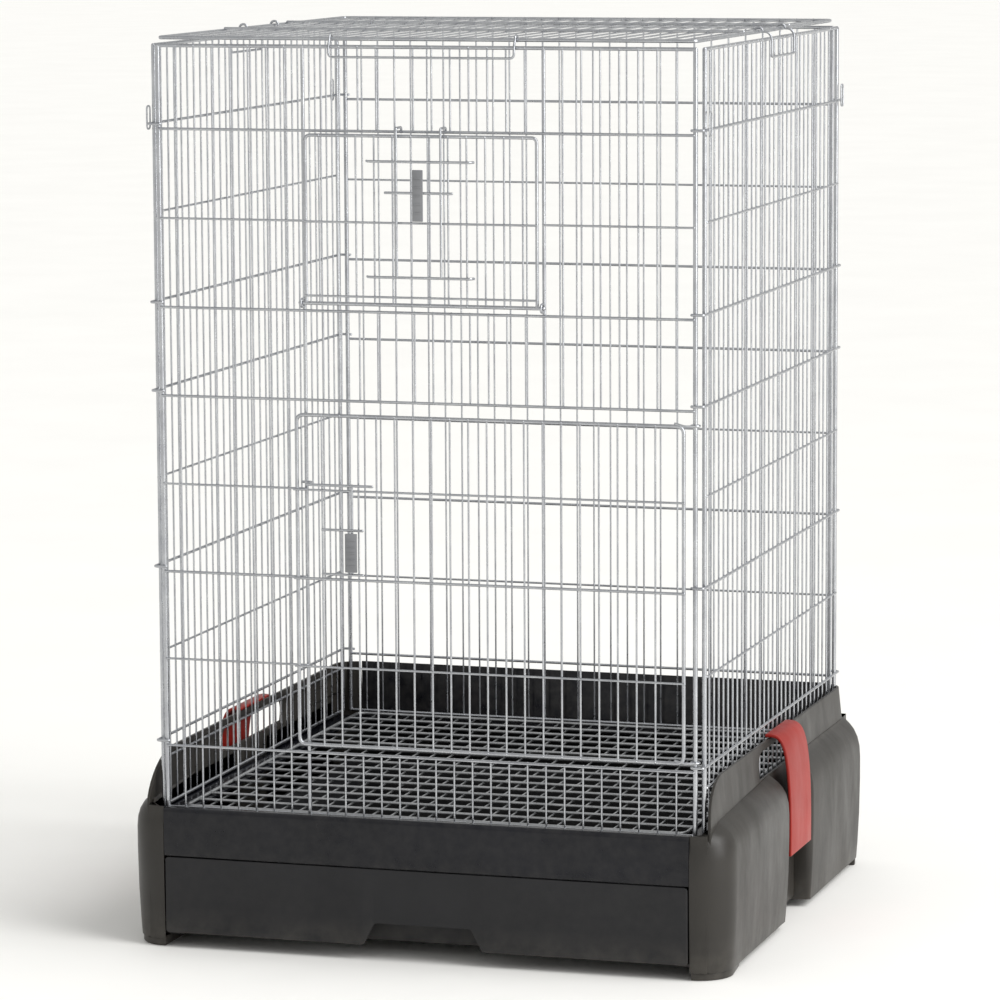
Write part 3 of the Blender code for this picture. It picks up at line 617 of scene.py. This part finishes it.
def hook_end(side, height):
    """The end of a side panel's level wire, curled round the front of its neighbour's post."""
    post_z = POST_X - SIDE_X
    reach = POST + 0.0004 + HOOKED
    outer = THIN + HOOKED - SUNK
    corner = [
        (FRONT_Y + reach, height, outer),
        (FRONT_Y + reach, height, post_z - 0.0022),
        (FRONT_Y + reach - 0.0014, height, post_z - 0.0036),
    ]
    return [(side * x, y, z) for x, y, z in corner]


def side_grille(word, side):
    bm = bmesh.new()
    xs = column_x(SIDE_POST_Y, COLUMNS_DEEP)
    for x in xs[1:-1]:
        upright_wire(bm, x, CAGE_BOTTOM, CAGE_TOP)
    panel_edges(bm, SIDE_POST_Y, xs)
    for level in LEVELS:
        height = level + SIDE_LEVEL_LIFT
        if level in HOOK_LEVELS:
            path = hook_end(-1, height)[::-1] + hook_end(1, height)
            tube(bm, bent(path, 0.0030), HOOKED)
            for x in xs:
                weld(bm, (x, height, THIN), OUT, LEVEL_WELD)
        else:
            level_wire(bm, -SIDE_POST_Y, SIDE_POST_Y, height, xs)
    level_wire(bm, -SIDE_POST_Y, SIDE_POST_Y, CLAMP_RAIL_Z, xs, HOOKED)
    place = standing(Vector((0, side, 0)), Vector((side, 0, 0)), (side * SIDE_X, 0, 0))
    piece(bm, f"{word}_grille", "cage", WIRE, [f"{word}_panel"], place)


def corner_loops():
    """Small loops of wire on the top hooks, which tie the panels together."""
    for word in ("left", "right"):
        for place in ("front", "back"):
            low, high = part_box(f"corner_loop_{place}_{word}")
            x = (low.x + high.x) / 2
            near, far = low.y + TIE_WIRE, high.y - TIE_WIRE
            bottom, top = low.z + TIE_WIRE, high.z - TIE_WIRE
            corners = [(x, near, bottom), (x, far, bottom), (x, far, top), (x, near, top)]
            bm = bmesh.new()
            tube(bm, bent(corners, 0.0040, 6, cyclic=True), TIE_WIRE, cyclic=True)
            stood_for = [f"corner_loop_{place}_{word}"]
            piece(bm, f"tie_loop_{place}_{word}", "cage", WIRE, stood_for)


# Doors and latches

def door_bars(bm, xs, bottom, top):
    """A door's thin uprights, welded to its bottom and top wires."""
    for x in xs:
        upright_wire(bm, x, bottom - DOOR_LAP, top + DOOR_LAP, depth=DOOR_PLANE)
        for height in (bottom, top):
            weld(bm, (x, height, DOOR_PLANE + THIN), OUT, WELD)


def lower_door():
    bm = bmesh.new()
    xs = column_x(POST_X, COLUMNS_WIDE)[JAMB_COLUMN + 1:COLUMNS_WIDE - 1]
    depth = DOOR_PLANE
    corners = [
        (DOOR_LEFT, DOOR_BOTTOM, depth), (DOOR_RIGHT, DOOR_BOTTOM, depth),
        (DOOR_RIGHT, DOOR_TOP, depth), (DOOR_LEFT, DOOR_TOP, depth),
    ]
    tube(bm, bent(corners, 0.0080, 6, cyclic=True), RAIL, cyclic=True)
    door_bars(bm, xs, DOOR_BOTTOM, DOOR_TOP)
    for level, radius in ((LEVEL_DE, LEVEL), (LEVEL_D, HOOKED), (LEVEL_CD, LEVEL)):
        level_wire(bm, DOOR_LEFT - 0.0040, DOOR_RIGHT + 0.0020, level, xs, radius, depth=depth)
    stood_for = ["door_lower", "door_lower_loop_bottom", "door_lower_loop_top"]
    eye = arc((0, -DOOR_PLANE), EYE_RADIUS, 90, -180, 16)
    for height in (DOOR_BOTTOM, DOOR_TOP):
        curl = [(POST_X + x, height, DOOR_PLANE + z) for x, z in eye]
        arm = [(DOOR_RIGHT - 0.0100, height + 0.0030, depth), (DOOR_RIGHT + 0.0010, height, depth)]
        tube(bm, bent([*arm, *curl], 0.0030, 3), FINE)
    piece(bm, "lower_door_grille", "door_lower", WIRE, stood_for, FRONT)


def upper_door():
    bm = bmesh.new()
    left, right = JAMB + HATCH_INSET, UPPER_JAMB - HATCH_INSET
    xs = column_x(POST_X, COLUMNS_WIDE)[JAMB_COLUMN + 1:UPPER_JAMB_COLUMN]
    depth = DOOR_PLANE
    frame_path = [
        (left, HATCH_BOTTOM, depth), (left, HATCH_TOP, depth),
        (right, HATCH_TOP, depth), (right, HATCH_BOTTOM, depth),
    ]
    tube(bm, bent(frame_path, 0.0060, 6), RAIL * 0.9)
    overhang = HATCH_INSET + 0.0035
    tube(bm, [(left - overhang, HATCH_BOTTOM, depth), (right + overhang, HATCH_BOTTOM, depth)], RAIL)
    door_bars(bm, xs, HATCH_BOTTOM, HATCH_TOP)
    for height in (HATCH_BOTTOM + 0.0080, LEVEL_AB):
        level_wire(bm, left - 0.0015, right + 0.0015, height, xs, depth=depth)
    piece(bm, "upper_door_grille", "door_upper", WIRE, ["door_upper"], FRONT)


def thumb_tab(name, body, node):
    """A ribbed thumb tab on a latch."""
    low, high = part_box(node)
    bm = bmesh.new()
    slab(bm, low, high)
    proud, inset = 0.0007, 0.0015
    for number in range(TAB_RIBS):
        height = low.z + (high.z - low.z) * (number + 1) / (TAB_RIBS + 1)
        rib_low = (low.x + inset, low.y - proud, height - proud)
        slab(bm, rib_low, (high.x - inset, low.y + 0.0010, height + proud))
    piece(bm, name, body, TAB_GREY, [node], bevel=(0.0005, 2))


def lower_latch():
    """Wire bolt of the large door, which reaches behind the jamb."""
    bm = bmesh.new()
    upright_x = JAMB + LOWER_LATCH_X
    front, behind = LATCH_PLANE, -POST - 0.0032
    entry = JAMB + 0.0040
    bolt_z, foot_z = LEVEL_CD + LOWER_LATCH_LIFT, LEVEL_D + LOWER_LATCH_LIFT
    middle_z = (bolt_z + foot_z) / 2
    bolt = [
        (JAMB - 0.0080, bolt_z, behind), (entry, bolt_z, behind), (entry, bolt_z, front),
        (upright_x + 0.0240, bolt_z, front),
    ]
    tube(bm, bent(bolt, 0.0030), LATCH_WIRE)
    behind_bolt = front - 0.0020
    upright_low = (upright_x, foot_z - LATCH_WIRE, behind_bolt)
    tube(bm, [upright_low, (upright_x, bolt_z + LATCH_WIRE, behind_bolt)], FINE)
    for height in (middle_z, foot_z):
        bar = [(upright_x - 0.0330, height, front), (upright_x + 0.0130, height, front)]
        tube(bm, bar, LATCH_WIRE)
    piece(bm, "lower_latch_bolt", "latch_lower", WIRE, ["latch_lower_wire"], FRONT)
    thumb_tab("lower_latch_thumb_tab", "latch_lower", "latch_lower_tab")


def upper_latch():
    """Wire catch of the feeding door, whose two legs hook over the level wire above it."""
    bm = bmesh.new()
    front = LATCH_PLANE
    hook_z = LEVEL_A + 0.0044
    low_z = HATCH_BOTTOM + 0.0280
    high_z = LEVEL_A - 0.0300
    tab_z = LEVEL_A - 0.0620
    behind = -0.0035
    for x in (-UPPER_LATCH_HALF, UPPER_LATCH_HALF):
        leg = [
            (x, low_z, front), (x, hook_z, front), (x, hook_z, behind), (x, LEVEL_A - 0.0020, behind),
        ]
        tube(bm, bent(leg, 0.0028), FINE)
    tip = front - 0.0060
    for height in (low_z + 0.0010, high_z):
        bar = [
            (-UPPER_LATCH_TIP, height, tip), (-UPPER_LATCH_BAR, height, front),
            (UPPER_LATCH_BAR, height, front), (UPPER_LATCH_TIP, height, tip),
        ]
        tube(bm, bent(bar, 0.0030), LATCH_WIRE)
    tube(bm, [(-UPPER_TAB_BAR, tab_z, front), (UPPER_TAB_BAR, tab_z, front)], LATCH_WIRE)
    piece(bm, "upper_latch_catch", "latch_upper", WIRE, ["latch_upper_wire"], FRONT)
    thumb_tab("upper_latch_thumb_tab", "latch_upper", "latch_upper_tab")


# Roof

def roof():
    bm = bmesh.new()
    xs = column_x(POST_X, COLUMNS_WIDE)
    for x in xs[1:-1]:
        upright_wire(bm, x, -ROOF_HALF_DEPTH, ROOF_HALF_DEPTH)
        for y in (-ROOF_HALF_DEPTH, ROOF_HALF_DEPTH):
            weld(bm, (x, y, THIN), OUT, WELD)
    tube(bm, bent(rectangle(POST_X, ROOF_HALF_DEPTH), 0.0070, 6, cyclic=True), RAIL, cyclic=True)
    for y in ROOF_BARS_Y:
        level_wire(bm, -POST_X, POST_X, y, xs, HOOKED)
    drop = CAGE_TOP - ROOF_Z
    for column in HINGE_COLUMNS:
        x = -POST_X + column * PITCH
        ring = arc((FRONT_Y, drop), RAIL + HINGE_GAP, 135, -150, 16)
        tube(bm, [(x, ROOF_HALF_DEPTH - 0.0010, 0.0010), *[(x, y, z) for y, z in ring]], FINE)
    piece(bm, "roof_grille", "roof", WIRE, ["roof_panel"], Matrix.Translation((0, 0, ROOF_Z)))


def bails():
    """Bails whose curls turn round the roof's edge wire: one in front, one on each side."""
    bm = bmesh.new()
    curl = arc((0, 0), BAIL_CURL, -30, 180, 12)
    leg = [*curl, (-0.0085, -0.0070), (-0.0085, -FRONT_BAIL_DROP)]
    half = FRONT_BAIL_HALF
    path = [(-half, y, z) for y, z in leg] + [(half, y, z) for y, z in reversed(leg)]
    tube(bm, bent(path, 0.0050), FINE)
    piece(bm, "front_bail", "roof_bail_front", WIRE, ["roof_bail_front"],
          Matrix.Translation((0, -ROOF_HALF_DEPTH, ROOF_Z)))
    for side, word in ((-1, "left"), (1, "right")):
        bm = bmesh.new()
        curl = arc((0, 0), BAIL_CURL, 210, 0, 12)
        leg = [*curl, (0.0100, -0.0002), (0.0145, -0.0050), (0.0145, -SIDE_BAIL_DROP)]
        front, back = SIDE_BAIL_Y
        path = [(side * x, front, z) for x, z in leg] + [(side * x, back, z) for x, z in reversed(leg)]
        tube(bm, bent(path, 0.0050), FINE)
        piece(bm, f"{word}_bail", f"roof_bail_{word}", WIRE, [f"roof_bail_{word}"],
              Matrix.Translation((side * POST_X, 0, ROOF_Z)))


# Floor mesh

def floor_grid():
    """Lift-out floor mesh: thick bars across, with thin wires welded under them."""
    bm = bmesh.new()
    tube(bm, bent(rectangle(MESH_X, MESH_Y), 0.0110, 6, cyclic=True), RAIL, cyclic=True)
    xs = column_x(MESH_X, MESH_BARS)[1:-1]
    ys = column_x(MESH_Y, MESH_ROWS)[1:-1]
    for y in ys:
        tube(bm, [(-MESH_X, y, 0), (MESH_X, y, 0)], MESH_WIRE)
    under = -MESH_WIRE - THIN + 0.0003
    for x in xs:
        tube(bm, [(x, -MESH_Y, under), (x, MESH_Y, under)], THIN)
        for y in ys:
            weld(bm, (x, y, -MESH_WIRE + 0.0001), OUT, WELD)
    piece(bm, "floor_mesh_grille", "floor_grid", FLOOR_WIRE, ["floor_mesh"],
          Matrix.Translation((0, 0, MESH_Z)))


# Moulded base

def wall_top(y):
    """Height of the side wall's top edge, which sweeps down to the low rim in front."""
    start = -WALL_Y + SWEEP_DEPTH
    if y >= start:
        return WALL_TOP
    share = (start - y) / SWEEP_DEPTH
    return RIM_Z + (WALL_TOP - RIM_Z) * math.sqrt(max(0.0, 1 - share * share))


def side_wall(bm):
    """The right-hand side wall, which leans in at its top and turns the back corner."""
    sweep = [-WALL_Y + SWEEP_DEPTH * (1 - math.cos(math.radians(9 * step))) for step in range(11)]
    centre = (WALL_OUT - WALL_CORNER, WALL_Y - WALL_CORNER)
    plan = [((WALL_OUT, y), (1, 0)) for y in sweep]
    plan += [((WALL_OUT, y), (1, 0)) for y in (-0.13, -0.05, 0.05, 0.13, 0.20)]
    for step in range(11):
        a = math.radians(9 * step)
        normal = (math.cos(a), math.sin(a))
        plan.append(((centre[0] + WALL_CORNER * normal[0], centre[1] + WALL_CORNER * normal[1]), normal))
    rings = []
    for (x, y), (nx, ny) in plan:
        top = wall_top(y)
        lean = WALL_LEAN * max(0.0, top - WALL_SHOULDER) / (WALL_TOP - WALL_SHOULDER)
        heights = [(WALL_BOTTOM, 0.0), (min(WALL_SHOULDER, top - 0.004), 0.0), (top, lean)]
        outer = [Vector((x - nx * d, y - ny * d, z)) for z, d in heights]
        inner = [Vector((x - nx * (d + WALL), y - ny * (d + WALL), z)) for z, d in reversed(heights)]
        rings.append([bm.verts.new(point) for point in outer + inner])
    skin(bm, rings, False)


def pod_outline(end, side_inset, front_inset):
    """Plan of a pod from its inner end round its outer face and corner to the front or back face."""
    gap_corner = max(POD_GAP_CORNER - side_inset, 0.0006)
    face = POD_X - side_inset
    corner_y = POD_GAP + POD_GAP_CORNER
    points = arc((face - gap_corner, corner_y), gap_corner, -90, 0, 4)
    points = [(x, min(y, corner_y) + side_inset * 0.25) for x, y in points]
    centre = (POD_X - POD_CORNER, BASE_HALF_DEPTH - POD_CORNER)
    for step in range(13):
        a = math.radians(7.5 * step)
        across = (POD_CORNER - side_inset) * math.cos(a)
        along = (POD_CORNER - front_inset) * math.sin(a)
        points.append((centre[0] + across, centre[1] + along))
    points.append((SLOT_X, BASE_HALF_DEPTH - front_inset))
    points.append((SLOT_X, BASE_HALF_DEPTH - WALL))
    points.append((WALL_OUT - WALL, BASE_HALF_DEPTH - WALL - 0.0010))
    points.append((WALL_OUT - WALL, POD_GAP + side_inset * 0.25))
    return [(x, end * y) for x, y in points]


# A pod's side face as (inset, height), upright below its shoulder and rounded over above it
POD_PROFILE = (
    (0.0040, FOOT_STEP), (0.0026, 0.0250), (0.0008, 0.0600), (0.0, 0.1000), (0.0, POD_SHOULDER),
    (0.0008, 0.1380), (0.0032, 0.1480), (0.0072, 0.1560), (0.0120, 0.1615), (0.0170, 0.1655),
    (0.0212, 0.1690),
)


def pod(bm, end):
    """Outer bulge of the side moulding, with a soft shoulder that fades into the wall."""
    top = POD_PROFILE[-1][1]
    rings = []
    for inset, height in POD_PROFILE:
        above = height - POD_SHOULDER
        ring = []
        for x, y in pod_outline(end, inset, min(inset, 0.0022)):
            squash = 1.0
            if end < 0 and above > 0:
                # The front pods come down to the rim at the front.
                near = min(max((-y - POD_FRONT) / (BASE_HALF_DEPTH - POD_FRONT), 0.0), 1.0)
                squash = 1.0 - near * (1.0 - (RIM_Z - POD_SHOULDER) / (top - POD_SHOULDER))
            z = height if above <= 0 else POD_SHOULDER + above * squash
            ring.append(bm.verts.new((x, y, z)))
        rings.append(ring)
    skin(bm, rings, False)


def foot(bm, end):
    """Foot at the outer end of a pod, which follows its rounded corner."""
    inner_end = BASE_HALF_DEPTH - (FRONT_FOOT if end < 0 else BACK_FOOT)
    radius = POD_CORNER - FOOT_INSET
    centre = (POD_X - POD_CORNER, BASE_HALF_DEPTH - POD_CORNER)
    start = math.degrees(math.asin(max(0.0, (inner_end - centre[1]) / radius)))
    points = [(SLOT_X + 0.0010, inner_end), (POD_X - FOOT_INSET - 0.0040, inner_end)]
    points += arc(centre, radius, start, 90, 8)
    points.append((SLOT_X + 0.0010, BASE_HALF_DEPTH - FOOT_INSET))
    rings = [[bm.verts.new((x, end * y, z)) for x, y in points] for z in (0.0, FOOT_STEP + 0.0020)]
    skin(bm, rings, False)


def cut_window(wall):
    """Cuts the arched window through the wall."""
    half, low, high, radius = WINDOW_HALF, WINDOW_LOW, WINDOW_HIGH, WINDOW_RADIUS
    outline = [(-half, low), *arc((-half + radius, high - radius), radius, 180, 90, 8)]
    outline += [*arc((half - radius, high - radius), radius, 90, 0, 8), (half, low)]
    inner, outer = WALL_OUT - 0.0150, WALL_OUT + 0.0050
    bm = bmesh.new()
    prism(bm, outline, (lambda y, z: (inner, y, z), lambda y, z: (outer, y, z)))
    bmesh.ops.recalc_face_normals(bm, faces=bm.faces)
    cutter = object_of(bm, "window_cutter")
    cut = wall.modifiers.new("window", "BOOLEAN")
    cut.operation = "DIFFERENCE"
    cut.object = cutter
    applied(wall)
    bpy.data.objects.remove(cutter, do_unlink=True)


def base_side(word, side):
    """Side moulding: wall, two pods with feet, drawer runner and shelf, with an arched window."""
    mirror = side < 0
    bm = bmesh.new()
    side_wall(bm)
    wall = piece(bm, f"side_wall_{word}", "base", SIDE_GREY, [f"base_side_{word}"])
    cut_window(wall)
    soften(wall, 0.0009, 3)
    shaded(wall)
    if mirror:
        wall.data.transform(MIRROR)
        wall.data.flip_normals()
    for end, place in ((-1, "front"), (1, "back")):
        bm = bmesh.new()
        pod(bm, end)
        name = f"side_pod_{place}_{word}"
        piece(bm, name, "base", SIDE_GREY, mirror=mirror, bevel=(0.0007, 2))
        bm = bmesh.new()
        foot(bm, end)
        name = f"foot_{place}_{word}"
        piece(bm, name, "base", SIDE_GREY, mirror=mirror, bevel=(0.0010, 2))
    bm = bmesh.new()
    start_y, end_y = -WALL_Y + 0.0050, WALL_Y - WALL_CORNER
    outer = WALL_OUT - 0.0010
    slab(bm, (RUNNER_IN, start_y, WALL_BOTTOM), (outer, end_y, RUNNER_TOP))
    slab(bm, (SHELF_IN, start_y, SHELF_TOP - WALL), (outer, end_y, SHELF_TOP))
    name = f"shelf_and_runner_{word}"
    piece(bm, name, "base", GLOSS_BLACK, mirror=mirror, bevel=(0.0005, 2))


def along_x(bm, outline, half):
    """A closed solid: the outline's (Y, Z) points carried from -half to half along X."""
    prism(bm, outline, (lambda y, z: (-half, y, z), lambda y, z: (half, y, z)))


def front_rail():
    """Low glossy rim across the front, with a rolled top edge."""
    bm = bmesh.new()
    front = -BASE_HALF_DEPTH
    radius = 0.0050
    roll = arc((front + radius, RIM_Z - radius), radius, 180, 90, 6)
    inner_y = -FRONT_Y - 0.0060
    outline = [
        (front + 0.0006, SEAM_Z), (front, SEAM_Z + 0.0100), *roll, (inner_y, RIM_Z - 0.0004),
        (inner_y, RIM_Z - WALL), (front + radius, RIM_Z - WALL), (front + WALL, RIM_Z - radius - WALL),
        (front + WALL, SEAM_Z + WALL), (inner_y, SEAM_Z + WALL), (inner_y, SEAM_Z),
    ]
    along_x(bm, outline, SLOT_X - FIT)
    piece(bm, "front_rim", "base", GLOSS_BLACK, ["base_front_rail"], bevel=(0.0006, 2))
    mesh_ledge("front_ledge", -BASE_HALF_DEPTH + 0.0040, -MESH_Y + LEDGE_REACH)


def mesh_ledge(name, low_y, high_y):
    """Ledge under the end of the floor mesh, between the side shelves."""
    bm = bmesh.new()
    inner = SHELF_IN - FIT
    ledge = SHELF_TOP - WALL
    slab(bm, (-inner, low_y, ledge - WALL), (inner, high_y, ledge))
    piece(bm, name, "base", GLOSS_BLACK, bevel=(0.0005, 2))


def back_wall():
    """High wall across the back, with a rounded top edge."""
    bm = bmesh.new()
    outer = WALL_Y - FIT
    radius = 0.0014
    top = arc((outer - radius, WALL_TOP - radius), radius, 0, 180, 6)
    outline = [(outer, WALL_BOTTOM), *top, (outer - WALL, WALL_TOP - radius), (outer - WALL, WALL_BOTTOM)]
    along_x(bm, outline, WALL_OUT - WALL_CORNER - 0.0004)
    piece(bm, "back_wall", "base", GLOSS_BLACK, ["base_back_wall"], bevel=(0.0004, 2))
    mesh_ledge("back_ledge", MESH_Y - LEDGE_REACH, outer - 0.0010)


# Drawer

def rounded_rectangle(low_x, high_x, low_y, high_y, radius, steps=6):
    points = []
    for centre, start in (
        ((high_x - radius, low_y + radius), -90), ((high_x - radius, high_y - radius), 0),
        ((low_x + radius, high_y - radius), 90), ((low_x + radius, low_y + radius), 180),
    ):
        points += arc(centre, radius, start, start + 90, steps)
    return points


def tray():
    """Open litter tray with rounded corners."""
    bm = bmesh.new()
    low, high = TRAY_LOW, TRAY_HIGH
    outer = rounded_rectangle(low.x, high.x, low.y, high.y, TRAY_CORNER)
    inner = rounded_rectangle(
        low.x + WALL, high.x - WALL, low.y + WALL, high.y - WALL, TRAY_CORNER - WALL
    )
    loops = [(outer, low.z), (outer, high.z), (inner, high.z), (inner, low.z + WALL)]
    skin(bm, [[bm.verts.new((x, y, z)) for x, y in loop] for loop, z in loops], False)
    piece(bm, "litter_tray", "drawer", TRAY_GREY, ["drawer_tray"], bevel=(0.0009, 3))


def drawer_face():
    """Front of the drawer, with a finger notch in its lower edge."""
    half = SLOT_X - FACE_GAP
    wide, narrow = NOTCH_HALF_WIDTH, NOTCH_HALF_WIDTH - NOTCH_SLOPE
    corner = FACE_CORNER
    low, high = TRAY_BOTTOM, TRAY_TOP
    front = -BASE_HALF_DEPTH
    # The left half's columns across the plate, each as (x, lower edge, upper edge)
    columns = [
        (-half, low + corner, high - corner),
        (-half + 0.3 * corner, low + 0.3 * corner, high - 0.3 * corner),
        (-half + corner, low, high),
        (-wide - corner, low, high),
        (-wide + 0.2 * corner, low + 0.5 * corner, high),
        (-narrow - 0.2 * corner, low + NOTCH_HEIGHT - 0.5 * corner, high),
        (-narrow + corner, low + NOTCH_HEIGHT, high),
    ]
    columns += [(-x, bottom, top) for x, bottom, top in reversed(columns)]
    bm = bmesh.new()
    rings = []
    for x, bottom, top in columns:
        corners = ((front, bottom), (front, top), (front + WALL, top), (front + WALL, bottom))
        rings.append([bm.verts.new((x, y, z)) for y, z in corners])
    skin(bm, rings, False)
    piece(bm, "drawer_face", "drawer", TRAY_GREY, ["drawer_front"], bevel=(0.0008, 3))
    bm = bmesh.new()
    flange_low = (TRAY_LOW.x, front + WALL - 0.0010, TRAY_TOP - WALL)
    slab(bm, flange_low, (TRAY_HIGH.x, TRAY_LOW.y - FIT, TRAY_TOP - 0.0005))
    piece(bm, "drawer_face_flange", "drawer", TRAY_GREY, bevel=(0.0005, 2))


# Levers

# Middle of the right lever's thickness as (X, Z), from the tongue's tip over the wall to the foot
LEVER_LINE = (
    (0.2998, 0.2078), (0.3060, 0.2082), (0.3120, 0.2070), (0.3165, 0.2035), (0.3200, 0.1970),
    (0.3232, 0.1850), (0.3258, 0.1650), (0.3274, 0.1400), (0.3280, 0.1100), (0.3280, 0.0770),
)


def smoothed(line, steps=4):
    """A Catmull-Rom curve through the line's flat points."""
    points = [Vector((x, z, 0)) for x, z in line]
    before_each = [points[0]] + points
    after_each = points[2:] + [points[-1]]
    curve = [points[0]]
    for before, start, end, after in zip(before_each, points, points[1:], after_each):
        for step in range(1, steps + 1):
            t = step / steps
            curve.append(0.5 * (
                2 * start + (end - before) * t + (2 * before - 5 * start + 4 * end - after) * t ** 2
                + (3 * start - before - 3 * end + after) * t ** 3
            ))
    return curve


def lever_outline():
    """Closed outline of the lever's section, with half its thickness on each side of its line."""
    curve = smoothed(LEVER_LINE)
    left, right = [], []
    for number, point in enumerate(curve):
        along = curve[min(number + 1, len(curve) - 1)] - curve[max(number - 1, 0)]
        along.normalize()
        normal = Vector((-along.y, along.x, 0)) * LEVER_THICKNESS / 2
        left.append(((point + normal).x, (point + normal).y))
        right.append(((point - normal).x, (point - normal).y))
    return left + right[::-1]


def lever(word, side):
    """Curved clamp lever with a tongue over the clamp rail, a barrel at its foot and its pin."""
    mirror = side < 0
    half = LEVER_HALF_WIDTH
    bm = bmesh.new()
    prism(bm, lever_outline(), (lambda x, z: (x, -half, z), lambda x, z: (x, half, z)))
    name = f"clamp_lever_{word}"
    body = f"lever_{word}"
    piece(bm, name, body, RED, [f"lever_{word}"], mirror=mirror, bevel=(0.0012, 3))
    bm = bmesh.new()
    barrel = half - 0.0050
    bore = PIN_RADIUS + FIT
    across, up = Vector((1, 0, 0)), Vector((0, 0, 1))
    rings = [
        ring_of(bm, Vector((PIVOT_X, y, PIVOT_Z)), across, up, radius, 28)
        for y, radius in ((-barrel, BARREL_RADIUS), (barrel, BARREL_RADIUS), (barrel, bore), (-barrel, bore))
    ]
    skin(bm, rings, True)
    piece(bm, f"clamp_lever_barrel_{word}", body, RED, mirror=mirror, bevel=(0.0005, 2))
    bm = bmesh.new()
    reach = POD_GAP + WALL
    tube(bm, [(side * PIVOT_X, -reach, PIVOT_Z), (side * PIVOT_X, reach, PIVOT_Z)], PIN_RADIUS, sides=24)
    piece(bm, f"pivot_pin_{word}", "base", PIN_STEEL, [f"lever_pin_{word}"])


# Stage

def stage():
    """A plain pale floor and soft studio lights."""
    bm = bmesh.new()
    bmesh.ops.create_grid(bm, x_segments=2, y_segments=2, size=90.0)
    floor = object_of(bm, "studio_floor")
    made = Finish("pale_floor")
    paper = made.ranged(made.noise(3.0, 3.0), 0.0, 1.0)
    made.colour(made.mixed(linear(244, 243, 240), linear(247, 246, 243), paper))
    made.roughness(made.ranged(made.noise(20.0, 3.0), 0.75, 0.9))
    floor.data.materials.append(made.material)
    floor.location.z = -0.0004
    world = bpy.data.worlds.new("studio")
    world.use_nodes = True
    background = world.node_tree.nodes["Background"]
    background.inputs["Color"].default_value = (1.0, 1.0, 0.985, 1.0)
    background.inputs["Strength"].default_value = 0.66
    bpy.context.scene.world = world
    sky = bpy.data.lights.new("overhead_key", "SUN")
    sky.energy = 1.9
    sky.angle = math.radians(40)
    middle = Vector((0, 0, 0.40))
    softbox = bpy.data.lights.new("right_softbox", "AREA")
    softbox.energy = 48.0
    softbox.size = 2.0
    for light, place in ((sky, (3.0, -0.3, 3.6)), (softbox, (3.4, -1.2, 1.3))):
        lamp = linked(light.name, light)
        lamp.location = place
        lamp.rotation_euler = (middle - Vector(place)).to_track_quat("-Z", "Y").to_euler()
    bpy.context.scene.view_settings.view_transform = "Standard"


def build():
    add_camera()
    stage()
    front_grille()
    back_grille()
    for side, word in ((-1, "left"), (1, "right")):
        side_grille(word, side)
        base_side(word, side)
        lever(word, side)
    corner_loops()
    lower_door()
    upper_door()
    lower_latch()
    upper_latch()
    roof()
    bails()
    floor_grid()
    front_rail()
    back_wall()
    tray()
    drawer_face()


build()
